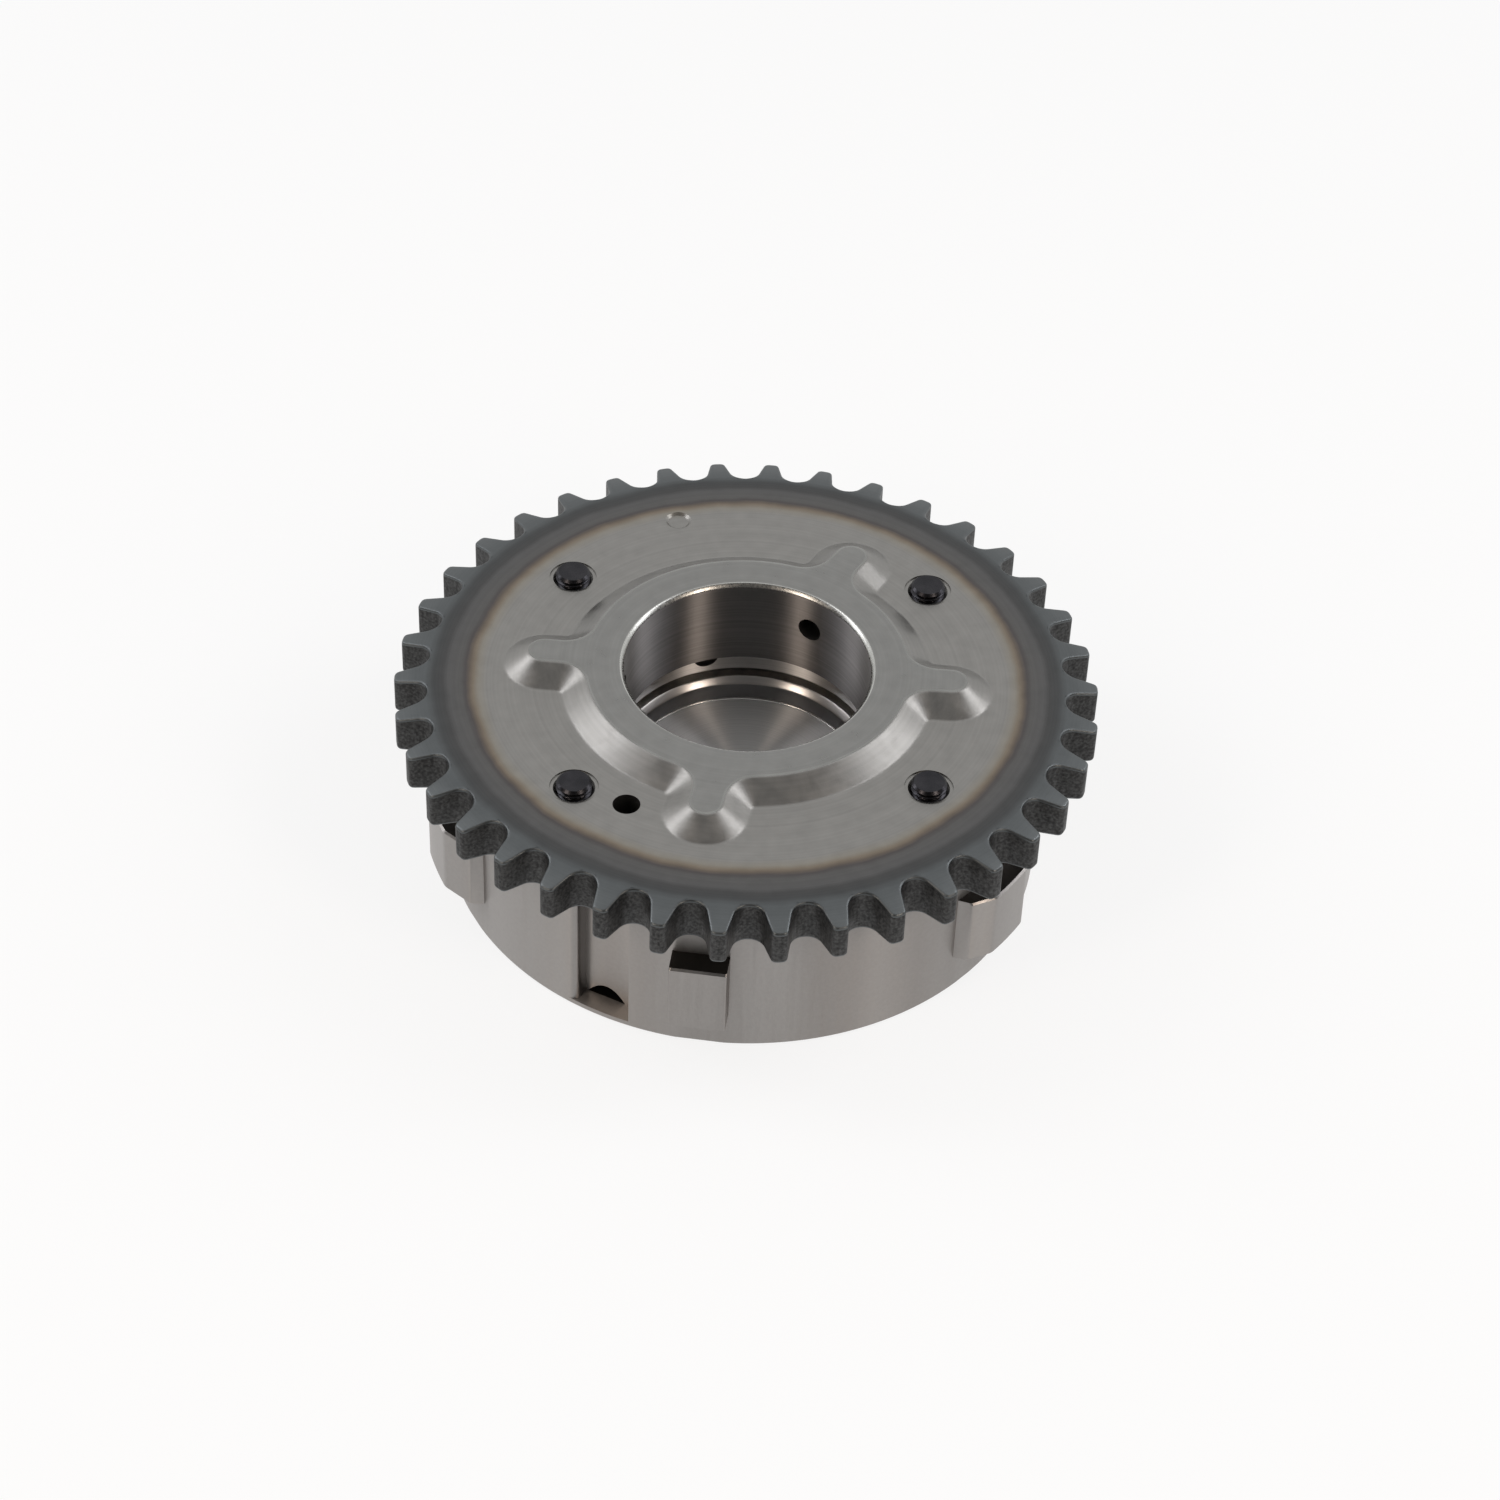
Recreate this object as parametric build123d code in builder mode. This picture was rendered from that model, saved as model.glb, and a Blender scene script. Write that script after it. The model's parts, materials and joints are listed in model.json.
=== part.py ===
from build123d import *
from math import asin, atan, cos, degrees, hypot, pi, radians, sin
import os

os.makedirs("parts", exist_ok=True)

# All sizes are in millimetres and all angles in degrees about the phaser's axis.
# The origin lies on that axis in the front face, and +Z points to the camshaft.

# Chain wheel: 38 teeth for a roller chain of 9.525 mm pitch
teeth = 38
chain_pitch = 9.525
first_gap_angle = 16.18
seat_radius = 3.3
seat_flats = 6
flank_angle = 13.5
tip_above_pitch = 2.33
rear_bevel = 1.15
front_bevel = 0.7

# Heights of the plate that carries the teeth
plate_underside = 27.3
plate_thickness = 8.8
plate_top = plate_underside + plate_thickness

# Raised ring with four arms on the camshaft side
ring_height = 3.0
ring_slope_run = 4.4
ring_foot_radius = 32.0
arm_foot_half_width = 7.2
arm_reach = 34.6
arm_corner_round = 1.0
arm_angles = (59.8, 177.0, 260.2, 356.8)

# Bore for the camshaft's nose, in wheel and rotor alike, and the boss round it
bore_radius = 21.0
rim_chamfer = 0.6
gallery_step = 1.8
gallery_top = 22.4
boss_radius = 25.0
boss_end = 18.2

# Oil ways in the chain wheel
arm_oil_radius = 2.2
arm_oil_height = 31.76
arm_oil_reach = 34.6
gallery_port_radius = 2.3
gallery_port_height = 21.6
gallery_port_angle = 109.0

# Fixing screws, M6, with their heads sunk in the front face
bolt_angles = (38.9, 141.5, 225.8, 320.6)
bolt_circle = 39.8
bolt_radius = 3.0
bolt_end_height = 37.4
bolt_head_radius = 5.0
bolt_head_height = 6.0
bolt_head_sink = 0.4
bolt_head_room = 0.3
bolt_hole_room = 0.3
bolt_socket_width = 5.0
bolt_socket_depth = 3.0
bolt_countersink_radius = 3.5
thread_gap = 0.02

# Marks and holes on the camshaft side
punch_radius = 2.3
punch_floor_radius = 1.75
punch_depth = 0.4
punch_circle = 43.6
punch_angle = 107.9
timing_hole_radius = 2.3
timing_hole_circle = 37.4
timing_hole_angle = 239.6
timing_hole_depth = 8.0

# Housing: a cup with four inward shoes that part its room into four chambers
housing_radius = 51.5
front_wall = 6.5
front_edge_chamfer = 0.5
side_wall = 5.5
shoe_tip_gap = 0.1
shoe_corner_round = 1.0
shoe_spans = ((30.4, 50.0), (133.0, 167.0), (217.3, 250.5), (312.1, 347.0))

# Raised blocks on the housing's outer wall
block_foot = 7.5
block_top = 21.0
pad_angle = -96.3
pad_width = 9.6
pad_rise = 4.1
lobe_sink = 0.6
lobe_crest_half_angle = 4.7
lobe_foot_extra_angle = 1.4
right_lobe_angle = -34.7
right_lobe_crest_rise = 4.1
right_lobe_ridge_rise = 2.25
right_lobe_ridge_half_angle = 9.1
left_lobe_angle = -158.3
left_lobe_crest_rise = 4.3
left_lobe_ridge_rise = 2.1
left_lobe_ridge_half_angle = 10.5

# Upright groove in the outer wall, with a pocket at its foot
groove_right_angle = -109.9
groove_width = 9.8
groove_depth = 3.5
groove_left_round = 1.8
groove_foot = 1.4
pocket_angle = -116.5
pocket_width = 7.0
pocket_height = 2.5
pocket_depth = 3.0

# Rotor: hub, three narrow vanes and one wide vane that also stops the travel
hub_radius = 30.0
vane_tip_gap = 0.15
rotor_end_gap = 0.04
wide_vane_angle = 91.5
wide_vane_half_angle = 28.7
narrow_vane_angles = (192.15, 281.3, 368.7)
narrow_vane_width = 8.0
vane_root_round = 0.6
running_gap = 0.05
rotor_shelf = 17.0
lead_in_width = 1.0
pilot_top = 16.0
pilot_floor = 12.5
oil_groove_depth = 1.5
oil_groove_top = 23.7
vane_oil_radius = 2.0
vane_oil_height = 21.6
vane_oil_offset = 4.5
nose_radius = 18.0
nose_end = 0.5
recess_radius = 14.0
web_foot = 6.5
centre_hole_radius = 6.3
dowel_hole_radius = 2.5
dowel_hole_circle = 15.5
dowel_hole_angle = 270.0
dowel_hole_depth = 4.0

# Seals in the vane tips and in the shoe tips, each on an arched leaf spring
seal_groove_width = 2.0
seal_groove_depth = 2.5
seal_side_gap = 0.02
seal_end_gap = 0.1
seal_thickness = 1.7
leaf_width = 1.8
leaf_thickness = 0.25
leaf_span = 17.0
leaf_crown_length = 6.0
leaf_room = 0.03

# Lock pin with its spring and seat in the wide vane, and its bush in the chain wheel
lock_circle = 36.8
lock_turn = -12.5
lock_pin_radius = 4.4
lock_flange_radius = 5.5
lock_flange_top = 20.0
lock_flange_foot = 15.2
lock_step_height = 23.2
lock_hollow_radius = 3.3
lock_hollow_top = 24.4
lock_bush_radius = 6.5
lock_bush_room = 0.15
lock_bush_height = 4.5
lock_seat_foot = 6.6
lock_seat_thickness = 2.0
lock_vent_radius = 0.9
lock_feed_width = 1.6
lock_feed_depth = 0.8
lock_vent_groove_width = 1.6
lock_vent_groove_depth = 0.6
coil_radius = 2.75
coil_wire_radius = 0.4
coil_turns = 5
coil_steps_per_turn = 8
coil_wire_sides = 6
coil_end_gap = 0.05
push_gap = 0.01

# How far a cut runs on past the metal that it cuts, and how near counts as on a circle
over = 1.0
nearness = 0.01

# Values that follow from the ones above
pitch_radius = chain_pitch / 2 / sin(pi / teeth)
tip_radius = pitch_radius + tip_above_pitch
root_radius = pitch_radius - seat_radius
ring_top = plate_top + ring_height
gallery_radius = bore_radius + gallery_step
chamber_radius = housing_radius - side_wall
shoe_tip_radius = hub_radius + shoe_tip_gap
vane_tip_radius = chamber_radius - vane_tip_gap
oil_groove_radius = boss_radius + oil_groove_depth
pad_radius = housing_radius + pad_rise
groove_floor_radius = housing_radius - groove_depth
chamber_depth = plate_underside - front_wall
rotor_foot = front_wall + rotor_end_gap
rotor_top = plate_underside - rotor_end_gap
rotor_height = rotor_top - rotor_foot
bolt_head_foot = bolt_head_sink + bolt_head_height
lock_bush_angle = wide_vane_angle + lock_turn
vane_angles = (wide_vane_angle,) + narrow_vane_angles
shoe_angles = tuple((start + end) / 2 for start, end in shoe_spans)


def polar(radius, angle):
    """A point in the plane at a radius and an angle about the axis."""
    return (radius * cos(radians(angle)), radius * sin(radians(angle)))


def spots(radius, angles, height=0.0):
    """Points on a circle about the axis, all at one height."""
    return [(*polar(radius, angle), height) for angle in angles]


def radial_plane(angle):
    """The upright plane through the axis: x runs outward at the angle, y runs up."""
    east, north = polar(1, angle)
    return Plane(origin=(0, 0, 0), x_dir=(east, north, 0), z_dir=(north, -east, 0))


def sector(inner, outer, start, end):
    """The flat shape between two radii and two angles."""
    with BuildSketch() as shape:
        with BuildLine():
            CenterArc((0, 0), outer, start, end - start)
            Line(polar(outer, end), polar(inner, end))
            CenterArc((0, 0), inner, start, end - start)
            Line(polar(inner, start), polar(outer, start))
        make_face()
    return shape.sketch


def lobe(angle, crest_rise, ridge_rise, ridge_half_angle):
    """A balance lobe seen from above: foot, ridge, flat bevel, round crest, and back."""
    crest = housing_radius + crest_rise
    ridge = housing_radius + ridge_rise
    foot_half_angle = ridge_half_angle + lobe_foot_extra_angle
    foot_radius = housing_radius - lobe_sink
    with BuildSketch() as shape:
        with BuildLine():
            Polyline(
                polar(crest, angle - lobe_crest_half_angle),
                polar(ridge, angle - ridge_half_angle),
                polar(foot_radius, angle - foot_half_angle),
                polar(foot_radius, angle + foot_half_angle),
                polar(ridge, angle + ridge_half_angle),
                polar(crest, angle + lobe_crest_half_angle),
            )
            CenterArc((0, 0), crest, angle - lobe_crest_half_angle, 2 * lobe_crest_half_angle)
        make_face()
    return shape.sketch


def at_radius(corners, radius):
    """The corners of an outline that lie on a circle about the axis."""
    return [corner for corner in corners if abs(hypot(corner.X, corner.Y) - radius) < nearness]


# Chain wheel
gap_depth = tip_above_pitch + over
gap_half_mouth = (seat_radius + gap_depth * sin(radians(flank_angle))) / cos(radians(flank_angle))
seat_step = (180 - 2 * flank_angle) / seat_flats
seat_directions = [90 + flank_angle + corner * seat_step for corner in range(seat_flats + 1)]
bevel_reach = (tip_radius + over - root_radius) / (tip_radius - root_radius)

with BuildSketch() as tooth_gap:
    with BuildLine():
        Polyline(
            (tip_radius + over, gap_half_mouth),
            *[Vector(pitch_radius, 0) + polar(seat_radius, way) for way in seat_directions],
            (tip_radius + over, -gap_half_mouth),
            close=True,
        )
    make_face()

with BuildPart() as sprocket:
    # Blank for the plate, with a flat bevel over every tooth on both faces
    for height, half_width in (
        (plate_underside, root_radius),
        (plate_underside + front_bevel * bevel_reach, tip_radius + over),
        (plate_top - rear_bevel * bevel_reach, tip_radius + over),
        (plate_top, root_radius),
    ):
        with BuildSketch(Plane.XY.offset(height)):
            RegularPolygon(half_width, teeth, major_radius=False, rotation=first_gap_angle)
    loft(ruled=True)

    # Teeth: straight flanks open from a roller seat that is cut in a few flats
    with BuildSketch(Plane.XY.offset(plate_underside)):
        Circle(tip_radius)
        with PolarLocations(0, teeth, start_angle=first_gap_angle):
            add(tooth_gap.sketch, mode=Mode.SUBTRACT)
    extrude(amount=plate_thickness, mode=Mode.INTERSECT)

    # Raised ring with four arms, sloped all round
    with BuildSketch(Plane.XY.offset(plate_top)) as ring_foot:
        Circle(ring_foot_radius)
        for angle in arm_angles:
            with Locations(Location((0, 0, 0), (0, 0, angle))):
                Rectangle(arm_reach, 2 * arm_foot_half_width, align=(Align.MIN, Align.CENTER))
            with Locations(polar(arm_reach, angle)):
                Circle(arm_foot_half_width)
        fillet(at_radius(ring_foot.vertices(), ring_foot_radius), arm_corner_round)
    extrude(amount=ring_height, taper=degrees(atan(ring_slope_run / ring_height)))

    # Boss that reaches down into the rotor
    with Locations((0, 0, boss_end)):
        Cylinder(
            boss_radius,
            plate_underside - boss_end,
            align=(Align.CENTER, Align.CENTER, Align.MIN),
        )

    # Bore with its rim chamfer and, below a sharp ledge, the wider oil gallery
    with BuildSketch(Plane.XZ):
        with BuildLine():
            Polyline(
                (0, boss_end),
                (gallery_radius, boss_end),
                (gallery_radius, gallery_top),
                (bore_radius, gallery_top),
                (bore_radius, ring_top - rim_chamfer),
                (bore_radius + rim_chamfer, ring_top),
                (0, ring_top),
                close=True,
            )
        make_face()
    revolve(axis=Axis.Z, mode=Mode.SUBTRACT)

    # An oil way along each arm, from the bore out and down into a chamber
    for angle in arm_angles:
        start = (*polar(bore_radius - over, angle), arm_oil_height)
        with Locations(Location(start, (0, 90, angle))):
            Cylinder(
                arm_oil_radius,
                arm_oil_reach + arm_oil_radius + over - bore_radius,
                align=(Align.CENTER, Align.CENTER, Align.MIN),
                mode=Mode.SUBTRACT,
            )
    with Locations(*spots(arm_oil_reach, arm_angles, plate_underside)):
        Cylinder(
            arm_oil_radius,
            arm_oil_height - plate_underside,
            align=(Align.CENTER, Align.CENTER, Align.MIN),
            mode=Mode.SUBTRACT,
        )

    # Port drilled from outside through the boss into the oil gallery, under its ledge
    start = (*polar(gallery_radius - over, gallery_port_angle), gallery_port_height)
    with Locations(Location(start, (0, 90, gallery_port_angle))):
        Cylinder(
            gallery_port_radius,
            boss_radius + 2 * over - gallery_radius,
            align=(Align.CENTER, Align.CENTER, Align.MIN),
            mode=Mode.SUBTRACT,
        )

    # Threaded holes for the fixing screws, countersunk on the camshaft side
    with Locations(*spots(bolt_circle, bolt_angles, plate_top)):
        CounterSinkHole(
            bolt_radius + thread_gap,
            bolt_countersink_radius,
            depth=plate_thickness,
            counter_sink_angle=90,
        )

    # Timing hole, and the shallow punched mark
    with Locations(*spots(timing_hole_circle, (timing_hole_angle,), plate_top)):
        Hole(timing_hole_radius, depth=plate_thickness)
    with Locations(*spots(punch_circle, (punch_angle,), plate_top - punch_depth)):
        Cone(
            punch_floor_radius,
            punch_radius,
            punch_depth,
            align=(Align.CENTER, Align.CENTER, Align.MIN),
            mode=Mode.SUBTRACT,
        )

    # Recess for the hard bush that takes the lock pin
    with Locations(*spots(lock_circle, (lock_bush_angle,), plate_underside)):
        Cylinder(
            lock_bush_radius + push_gap,
            lock_bush_height,
            align=(Align.CENTER, Align.CENTER, Align.MIN),
            mode=Mode.SUBTRACT,
        )
sprocket.part.label = "sprocket"
export_step(sprocket.part, "parts/sprocket.step")

# Housing
groove_angle = groove_right_angle - degrees(asin(groove_width / 2 / housing_radius))
groove_left_angle = 2 * groove_angle - groove_right_angle

with BuildPart() as housing:
    # Cup with a small chamfer round its front edge
    with Locations((0, 0, 0)):
        Cylinder(
            housing_radius,
            plate_underside,
            align=(Align.CENTER, Align.CENTER, Align.MIN),
        )
    chamfer(housing.edges().group_by(Axis.Z)[0], front_edge_chamfer)

    # Plain pad near the groove, and four balance lobes
    with BuildSketch(Plane.XY.offset(block_foot)):
        with Locations(Location((0, 0, 0), (0, 0, pad_angle))):
            Rectangle(pad_radius, pad_width, align=(Align.MIN, Align.CENTER))
        for side in (1, -1):
            add(
                lobe(
                    side * right_lobe_angle,
                    right_lobe_crest_rise,
                    right_lobe_ridge_rise,
                    right_lobe_ridge_half_angle,
                )
            )
            add(
                lobe(
                    side * left_lobe_angle,
                    left_lobe_crest_rise,
                    left_lobe_ridge_rise,
                    left_lobe_ridge_half_angle,
                )
            )
    extrude(amount=block_top - block_foot)

    # Groove from the rim down to a low ledge, round on its left and sharp on its right
    with BuildSketch(Plane.XY.offset(groove_foot)):
        with Locations(Location((0, 0, 0), (0, 0, groove_angle))):
            with Locations((groove_floor_radius, 0)):
                Rectangle(
                    pad_radius - groove_floor_radius,
                    groove_width,
                    align=(Align.MIN, Align.CENTER),
                )
    extrude(amount=plate_underside - groove_foot, mode=Mode.SUBTRACT)
    left_edge = housing.edges().filter_by(Axis.Z).sort_by_distance(
        Vertex(*polar(housing_radius, groove_left_angle), plate_underside / 2)
    )[0]
    fillet(left_edge, groove_left_round)

    # Arched pocket in the groove's floor, just above the ledge
    with BuildSketch(
        Plane(
            origin=(*polar(groove_floor_radius + over, pocket_angle), groove_foot),
            x_dir=(-sin(radians(pocket_angle)), cos(radians(pocket_angle)), 0),
            z_dir=(*polar(-1, pocket_angle), 0),
        )
    ):
        with BuildLine():
            ThreePointArc(
                (-pocket_width / 2, 0),
                (0, -pocket_height),
                (pocket_width / 2, 0),
            )
            Line((pocket_width / 2, 0), (-pocket_width / 2, 0))
        make_face()
    extrude(amount=pocket_depth + over, mode=Mode.SUBTRACT)

    # Room for the rotor: the hub's room and four chambers between the shoes
    with BuildSketch(Plane.XY.offset(front_wall)) as room:
        Circle(chamber_radius)
        for start, end in shoe_spans:
            add(sector(shoe_tip_radius, chamber_radius + over, start, end), mode=Mode.SUBTRACT)
        fillet(at_radius(room.vertices(), shoe_tip_radius), shoe_corner_round)
        for angle in shoe_angles:
            with Locations(Location((0, 0, 0), (0, 0, angle))):
                with Locations((shoe_tip_radius + seal_groove_depth, 0)):
                    Rectangle(
                        seal_groove_depth + over,
                        seal_groove_width,
                        align=(Align.MAX, Align.CENTER),
                    )
    extrude(amount=chamber_depth, mode=Mode.SUBTRACT)

    # Front opening, in which the rotor's nose turns
    with Locations((0, 0, front_wall)):
        Hole(nose_radius + running_gap, depth=front_wall)

    # Holes for the fixing screws, with sunk seats for their heads
    with Locations(*[Location(spot, (180, 0, 0)) for spot in spots(bolt_circle, bolt_angles)]):
        CounterBoreHole(
            bolt_radius + bolt_hole_room,
            bolt_head_radius + bolt_head_room,
            bolt_head_foot,
            depth=plate_underside,
        )

    # The timing hole goes on into a shoe and ends there
    with Locations(*spots(timing_hole_circle, (timing_hole_angle,), plate_underside)):
        Hole(timing_hole_radius, depth=timing_hole_depth)
housing.part.label = "housing"
export_step(housing.part, "parts/housing.step")

# Rotor
with BuildPart() as rotor:
    # Hub with its vanes
    with BuildSketch(Plane.XY.offset(rotor_foot)) as rotor_outline:
        Circle(hub_radius)
        add(
            sector(
                hub_radius - over,
                vane_tip_radius,
                wide_vane_angle - wide_vane_half_angle,
                wide_vane_angle + wide_vane_half_angle,
            )
        )
        for angle in narrow_vane_angles:
            with Locations(Location((0, 0, 0), (0, 0, angle))):
                Rectangle(
                    chamber_radius,
                    narrow_vane_width,
                    align=(Align.MIN, Align.CENTER),
                )
        fillet(at_radius(rotor_outline.vertices(), hub_radius), vane_root_round)
        Circle(vane_tip_radius, mode=Mode.INTERSECT)
        for angle in vane_angles:
            with Locations(Location((0, 0, 0), (0, 0, angle))):
                with Locations((vane_tip_radius - seal_groove_depth, 0)):
                    Rectangle(
                        seal_groove_depth + over,
                        seal_groove_width,
                        align=(Align.MIN, Align.CENTER),
                        mode=Mode.SUBTRACT,
                    )
    extrude(amount=rotor_height)

    # Nose that fills the housing's front opening
    with Locations((0, 0, nose_end)):
        Cylinder(
            nose_radius,
            rotor_foot - nose_end,
            align=(Align.CENTER, Align.CENTER, Align.MIN),
        )

    # Turned room on the camshaft side: boss room, oil groove at its foot, lead-in and pilot bore
    with BuildSketch(Plane.XZ):
        with BuildLine():
            Polyline(
                (0, rotor_top),
                (boss_radius + running_gap, rotor_top),
                (boss_radius + running_gap, oil_groove_top),
                (oil_groove_radius, oil_groove_top),
                (oil_groove_radius, rotor_shelf),
                (bore_radius + lead_in_width, rotor_shelf),
                (bore_radius, pilot_top),
                (bore_radius, pilot_floor),
                (0, pilot_floor),
                close=True,
            )
        make_face()
    revolve(axis=Axis.Z, mode=Mode.SUBTRACT)

    # Hole for the camshaft bolt, with a recess for its head
    with Locations((0, 0, pilot_floor)):
        Hole(centre_hole_radius, depth=pilot_floor - web_foot)
    with Locations((0, 0, nose_end)):
        Cylinder(
            recess_radius,
            web_foot - nose_end,
            align=(Align.CENTER, Align.CENTER, Align.MIN),
            mode=Mode.SUBTRACT,
        )

    # Blind hole for the camshaft's dowel
    with Locations(*spots(dowel_hole_circle, (dowel_hole_angle,), pilot_floor)):
        Hole(dowel_hole_radius, depth=dowel_hole_depth)

    # A drilling from the oil groove to the far side of every vane
    far_sides = [wide_vane_angle + wide_vane_half_angle + vane_oil_offset]
    half_root = degrees(narrow_vane_width / 2 / hub_radius)
    far_sides += [angle + half_root + vane_oil_offset for angle in narrow_vane_angles]
    for angle in far_sides:
        start = (*polar(oil_groove_radius - over, angle), vane_oil_height)
        with Locations(Location(start, (0, 90, angle))):
            Cylinder(
                vane_oil_radius,
                hub_radius + 2 * over - oil_groove_radius,
                align=(Align.CENTER, Align.CENTER, Align.MIN),
                mode=Mode.SUBTRACT,
            )

    # Stepped hole for the lock pin: wide from the front, narrow at the rear
    with Locations(*spots(lock_circle, (wide_vane_angle,), rotor_foot)):
        Cylinder(
            lock_flange_radius + running_gap,
            lock_step_height - rotor_foot,
            align=(Align.CENTER, Align.CENTER, Align.MIN),
            mode=Mode.SUBTRACT,
        )
        Cylinder(
            lock_pin_radius + running_gap,
            rotor_height,
            align=(Align.CENTER, Align.CENTER, Align.MIN),
            mode=Mode.SUBTRACT,
        )

    # Shallow groove that brings oil from the chamber to the lock pin's nose
    with BuildSketch(Plane.XY.offset(rotor_top)):
        add(
            sector(
                lock_circle - lock_feed_width / 2,
                lock_circle + lock_feed_width / 2,
                wide_vane_angle - wide_vane_half_angle - over,
                wide_vane_angle,
            )
        )
    extrude(amount=-lock_feed_depth, mode=Mode.SUBTRACT)

    # Vent groove from the lock pin's hole along the front face and the nose
    with Locations(Location((0, 0, rotor_foot), (0, 0, wide_vane_angle))):
        with Locations((nose_radius - lock_vent_groove_depth, 0, 0)):
            Box(
                lock_circle - nose_radius,
                lock_vent_groove_width,
                lock_vent_groove_depth,
                align=(Align.MIN, Align.CENTER, Align.MIN),
                mode=Mode.SUBTRACT,
            )
            Box(
                lock_vent_groove_depth + over,
                lock_vent_groove_width,
                rotor_foot - nose_end,
                align=(Align.MIN, Align.CENTER, Align.MAX),
                mode=Mode.SUBTRACT,
            )
rotor.part.label = "rotor"
export_step(rotor.part, "parts/rotor.step")

# Lock pin: a hollow stepped plunger
lock_spot = polar(lock_circle, wide_vane_angle)
with BuildPart() as lock_pin:
    with BuildSketch(Plane.XZ):
        with BuildLine():
            Polyline(
                (lock_hollow_radius, lock_flange_foot),
                (lock_flange_radius, lock_flange_foot),
                (lock_flange_radius, lock_flange_top),
                (lock_pin_radius, lock_flange_top),
                (lock_pin_radius, rotor_top),
                (0, rotor_top),
                (0, lock_hollow_top),
                (lock_hollow_radius, lock_hollow_top),
                close=True,
            )
        make_face()
    revolve(axis=Axis.Z)
lock_pin_part = Pos(*lock_spot, 0) * lock_pin.part
lock_pin_part.label = "lock_pin"
export_step(lock_pin_part, "parts/lock_pin.step")

# Vented seat that closes the lock pin's hole and carries its spring
lock_seat_top = lock_seat_foot + lock_seat_thickness
with BuildPart() as lock_seat:
    with Locations((*lock_spot, lock_seat_foot)):
        Cylinder(
            lock_flange_radius + running_gap - push_gap,
            lock_seat_thickness,
            align=(Align.CENTER, Align.CENTER, Align.MIN),
        )
    with Locations((*lock_spot, lock_seat_top)):
        Hole(lock_vent_radius)
lock_seat.part.label = "lock_spring_seat"
export_step(lock_seat.part, "parts/lock_spring_seat.step")

# Lock spring: a coil from the seat to the floor of the pin's hollow
coil_foot = lock_seat_top + coil_end_gap + coil_wire_radius
coil_top = lock_hollow_top - coil_end_gap - coil_wire_radius
coil_steps = coil_turns * coil_steps_per_turn
coil_path = [
    (
        lock_spot[0] + coil_radius * cos(2 * pi * step / coil_steps_per_turn),
        lock_spot[1] + coil_radius * sin(2 * pi * step / coil_steps_per_turn),
        coil_foot + (coil_top - coil_foot) * step / coil_steps,
    )
    for step in range(coil_steps + 1)
]
with BuildPart() as lock_spring:
    with BuildLine() as coil:
        Polyline(*coil_path)
    with BuildSketch(Plane(origin=coil.line @ 0, z_dir=coil.line % 0)):
        RegularPolygon(coil_wire_radius, coil_wire_sides)
    sweep(transition=Transition.RIGHT)
lock_spring.part.label = "lock_spring"
export_step(lock_spring.part, "parts/lock_spring.step")

# Hard bush for the lock pin, pressed into the chain wheel
with BuildPart() as lock_bush:
    with Locations(*spots(lock_circle, (lock_bush_angle,), plate_underside)):
        Cylinder(
            lock_bush_radius,
            lock_bush_height,
            align=(Align.CENTER, Align.CENTER, Align.MIN),
        )
        Cylinder(
            lock_pin_radius + lock_bush_room,
            lock_bush_height,
            align=(Align.CENTER, Align.CENTER, Align.MIN),
            mode=Mode.SUBTRACT,
        )
lock_bush.part.label = "lock_bush"
export_step(lock_bush.part, "parts/lock_bush.step")

# Fixing screws, four alike: socket heads sunk in the front, ends standing out at the rear
with BuildPart() as screws:
    with Locations(*spots(bolt_circle, bolt_angles, bolt_head_sink)):
        Cylinder(
            bolt_head_radius,
            bolt_head_height,
            align=(Align.CENTER, Align.CENTER, Align.MIN),
        )
        Cylinder(
            bolt_radius,
            bolt_end_height - bolt_head_sink,
            align=(Align.CENTER, Align.CENTER, Align.MIN),
        )
    with BuildSketch(Plane.XY.offset(bolt_head_sink)):
        with Locations(*spots(bolt_circle, bolt_angles)):
            RegularPolygon(bolt_socket_width / 2, 6, major_radius=False)
    extrude(amount=bolt_socket_depth, mode=Mode.SUBTRACT)
screws.part.label = "fixing_screws"
export_step(screws.part, "parts/fixing_screws.step")

# Seals: bars that run on the chamber wall or on the hub, all of one length
seal_length = chamber_depth - 2 * seal_end_gap
vane_seal_outer = chamber_radius - running_gap
shoe_seal_outer = hub_radius + running_gap + seal_thickness
vane_groove_floor = vane_tip_radius - seal_groove_depth
shoe_groove_floor = shoe_tip_radius + seal_groove_depth

for number, angle in enumerate(vane_angles, start=1):
    with BuildPart() as seal:
        with BuildSketch(Plane.XY.offset(front_wall + seal_end_gap)):
            with Locations(Location((0, 0, 0), (0, 0, angle))):
                with Locations((vane_seal_outer, 0)):
                    Rectangle(
                        seal_thickness,
                        seal_groove_width - 2 * seal_side_gap,
                        align=(Align.MAX, Align.CENTER),
                    )
        extrude(amount=seal_length)
    seal.part.label = f"vane_seal_{number}"
    export_step(seal.part, f"parts/vane_seal_{number}.step")

for number, angle in enumerate(shoe_angles, start=1):
    with BuildPart() as seal:
        with BuildSketch(Plane.XY.offset(front_wall + seal_end_gap)):
            with Locations(Location((0, 0, 0), (0, 0, angle))):
                with Locations((shoe_seal_outer, 0)):
                    Rectangle(
                        seal_thickness,
                        seal_groove_width - 2 * seal_side_gap,
                        align=(Align.MAX, Align.CENTER),
                    )
        extrude(amount=seal_length)
    seal.part.label = f"shoe_seal_{number}"
    export_step(seal.part, f"parts/shoe_seal_{number}.step")

# Leaf springs: their crowns press on the seals, and their ends rest on the groove floors
leaf_middle = front_wall + chamber_depth / 2


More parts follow.
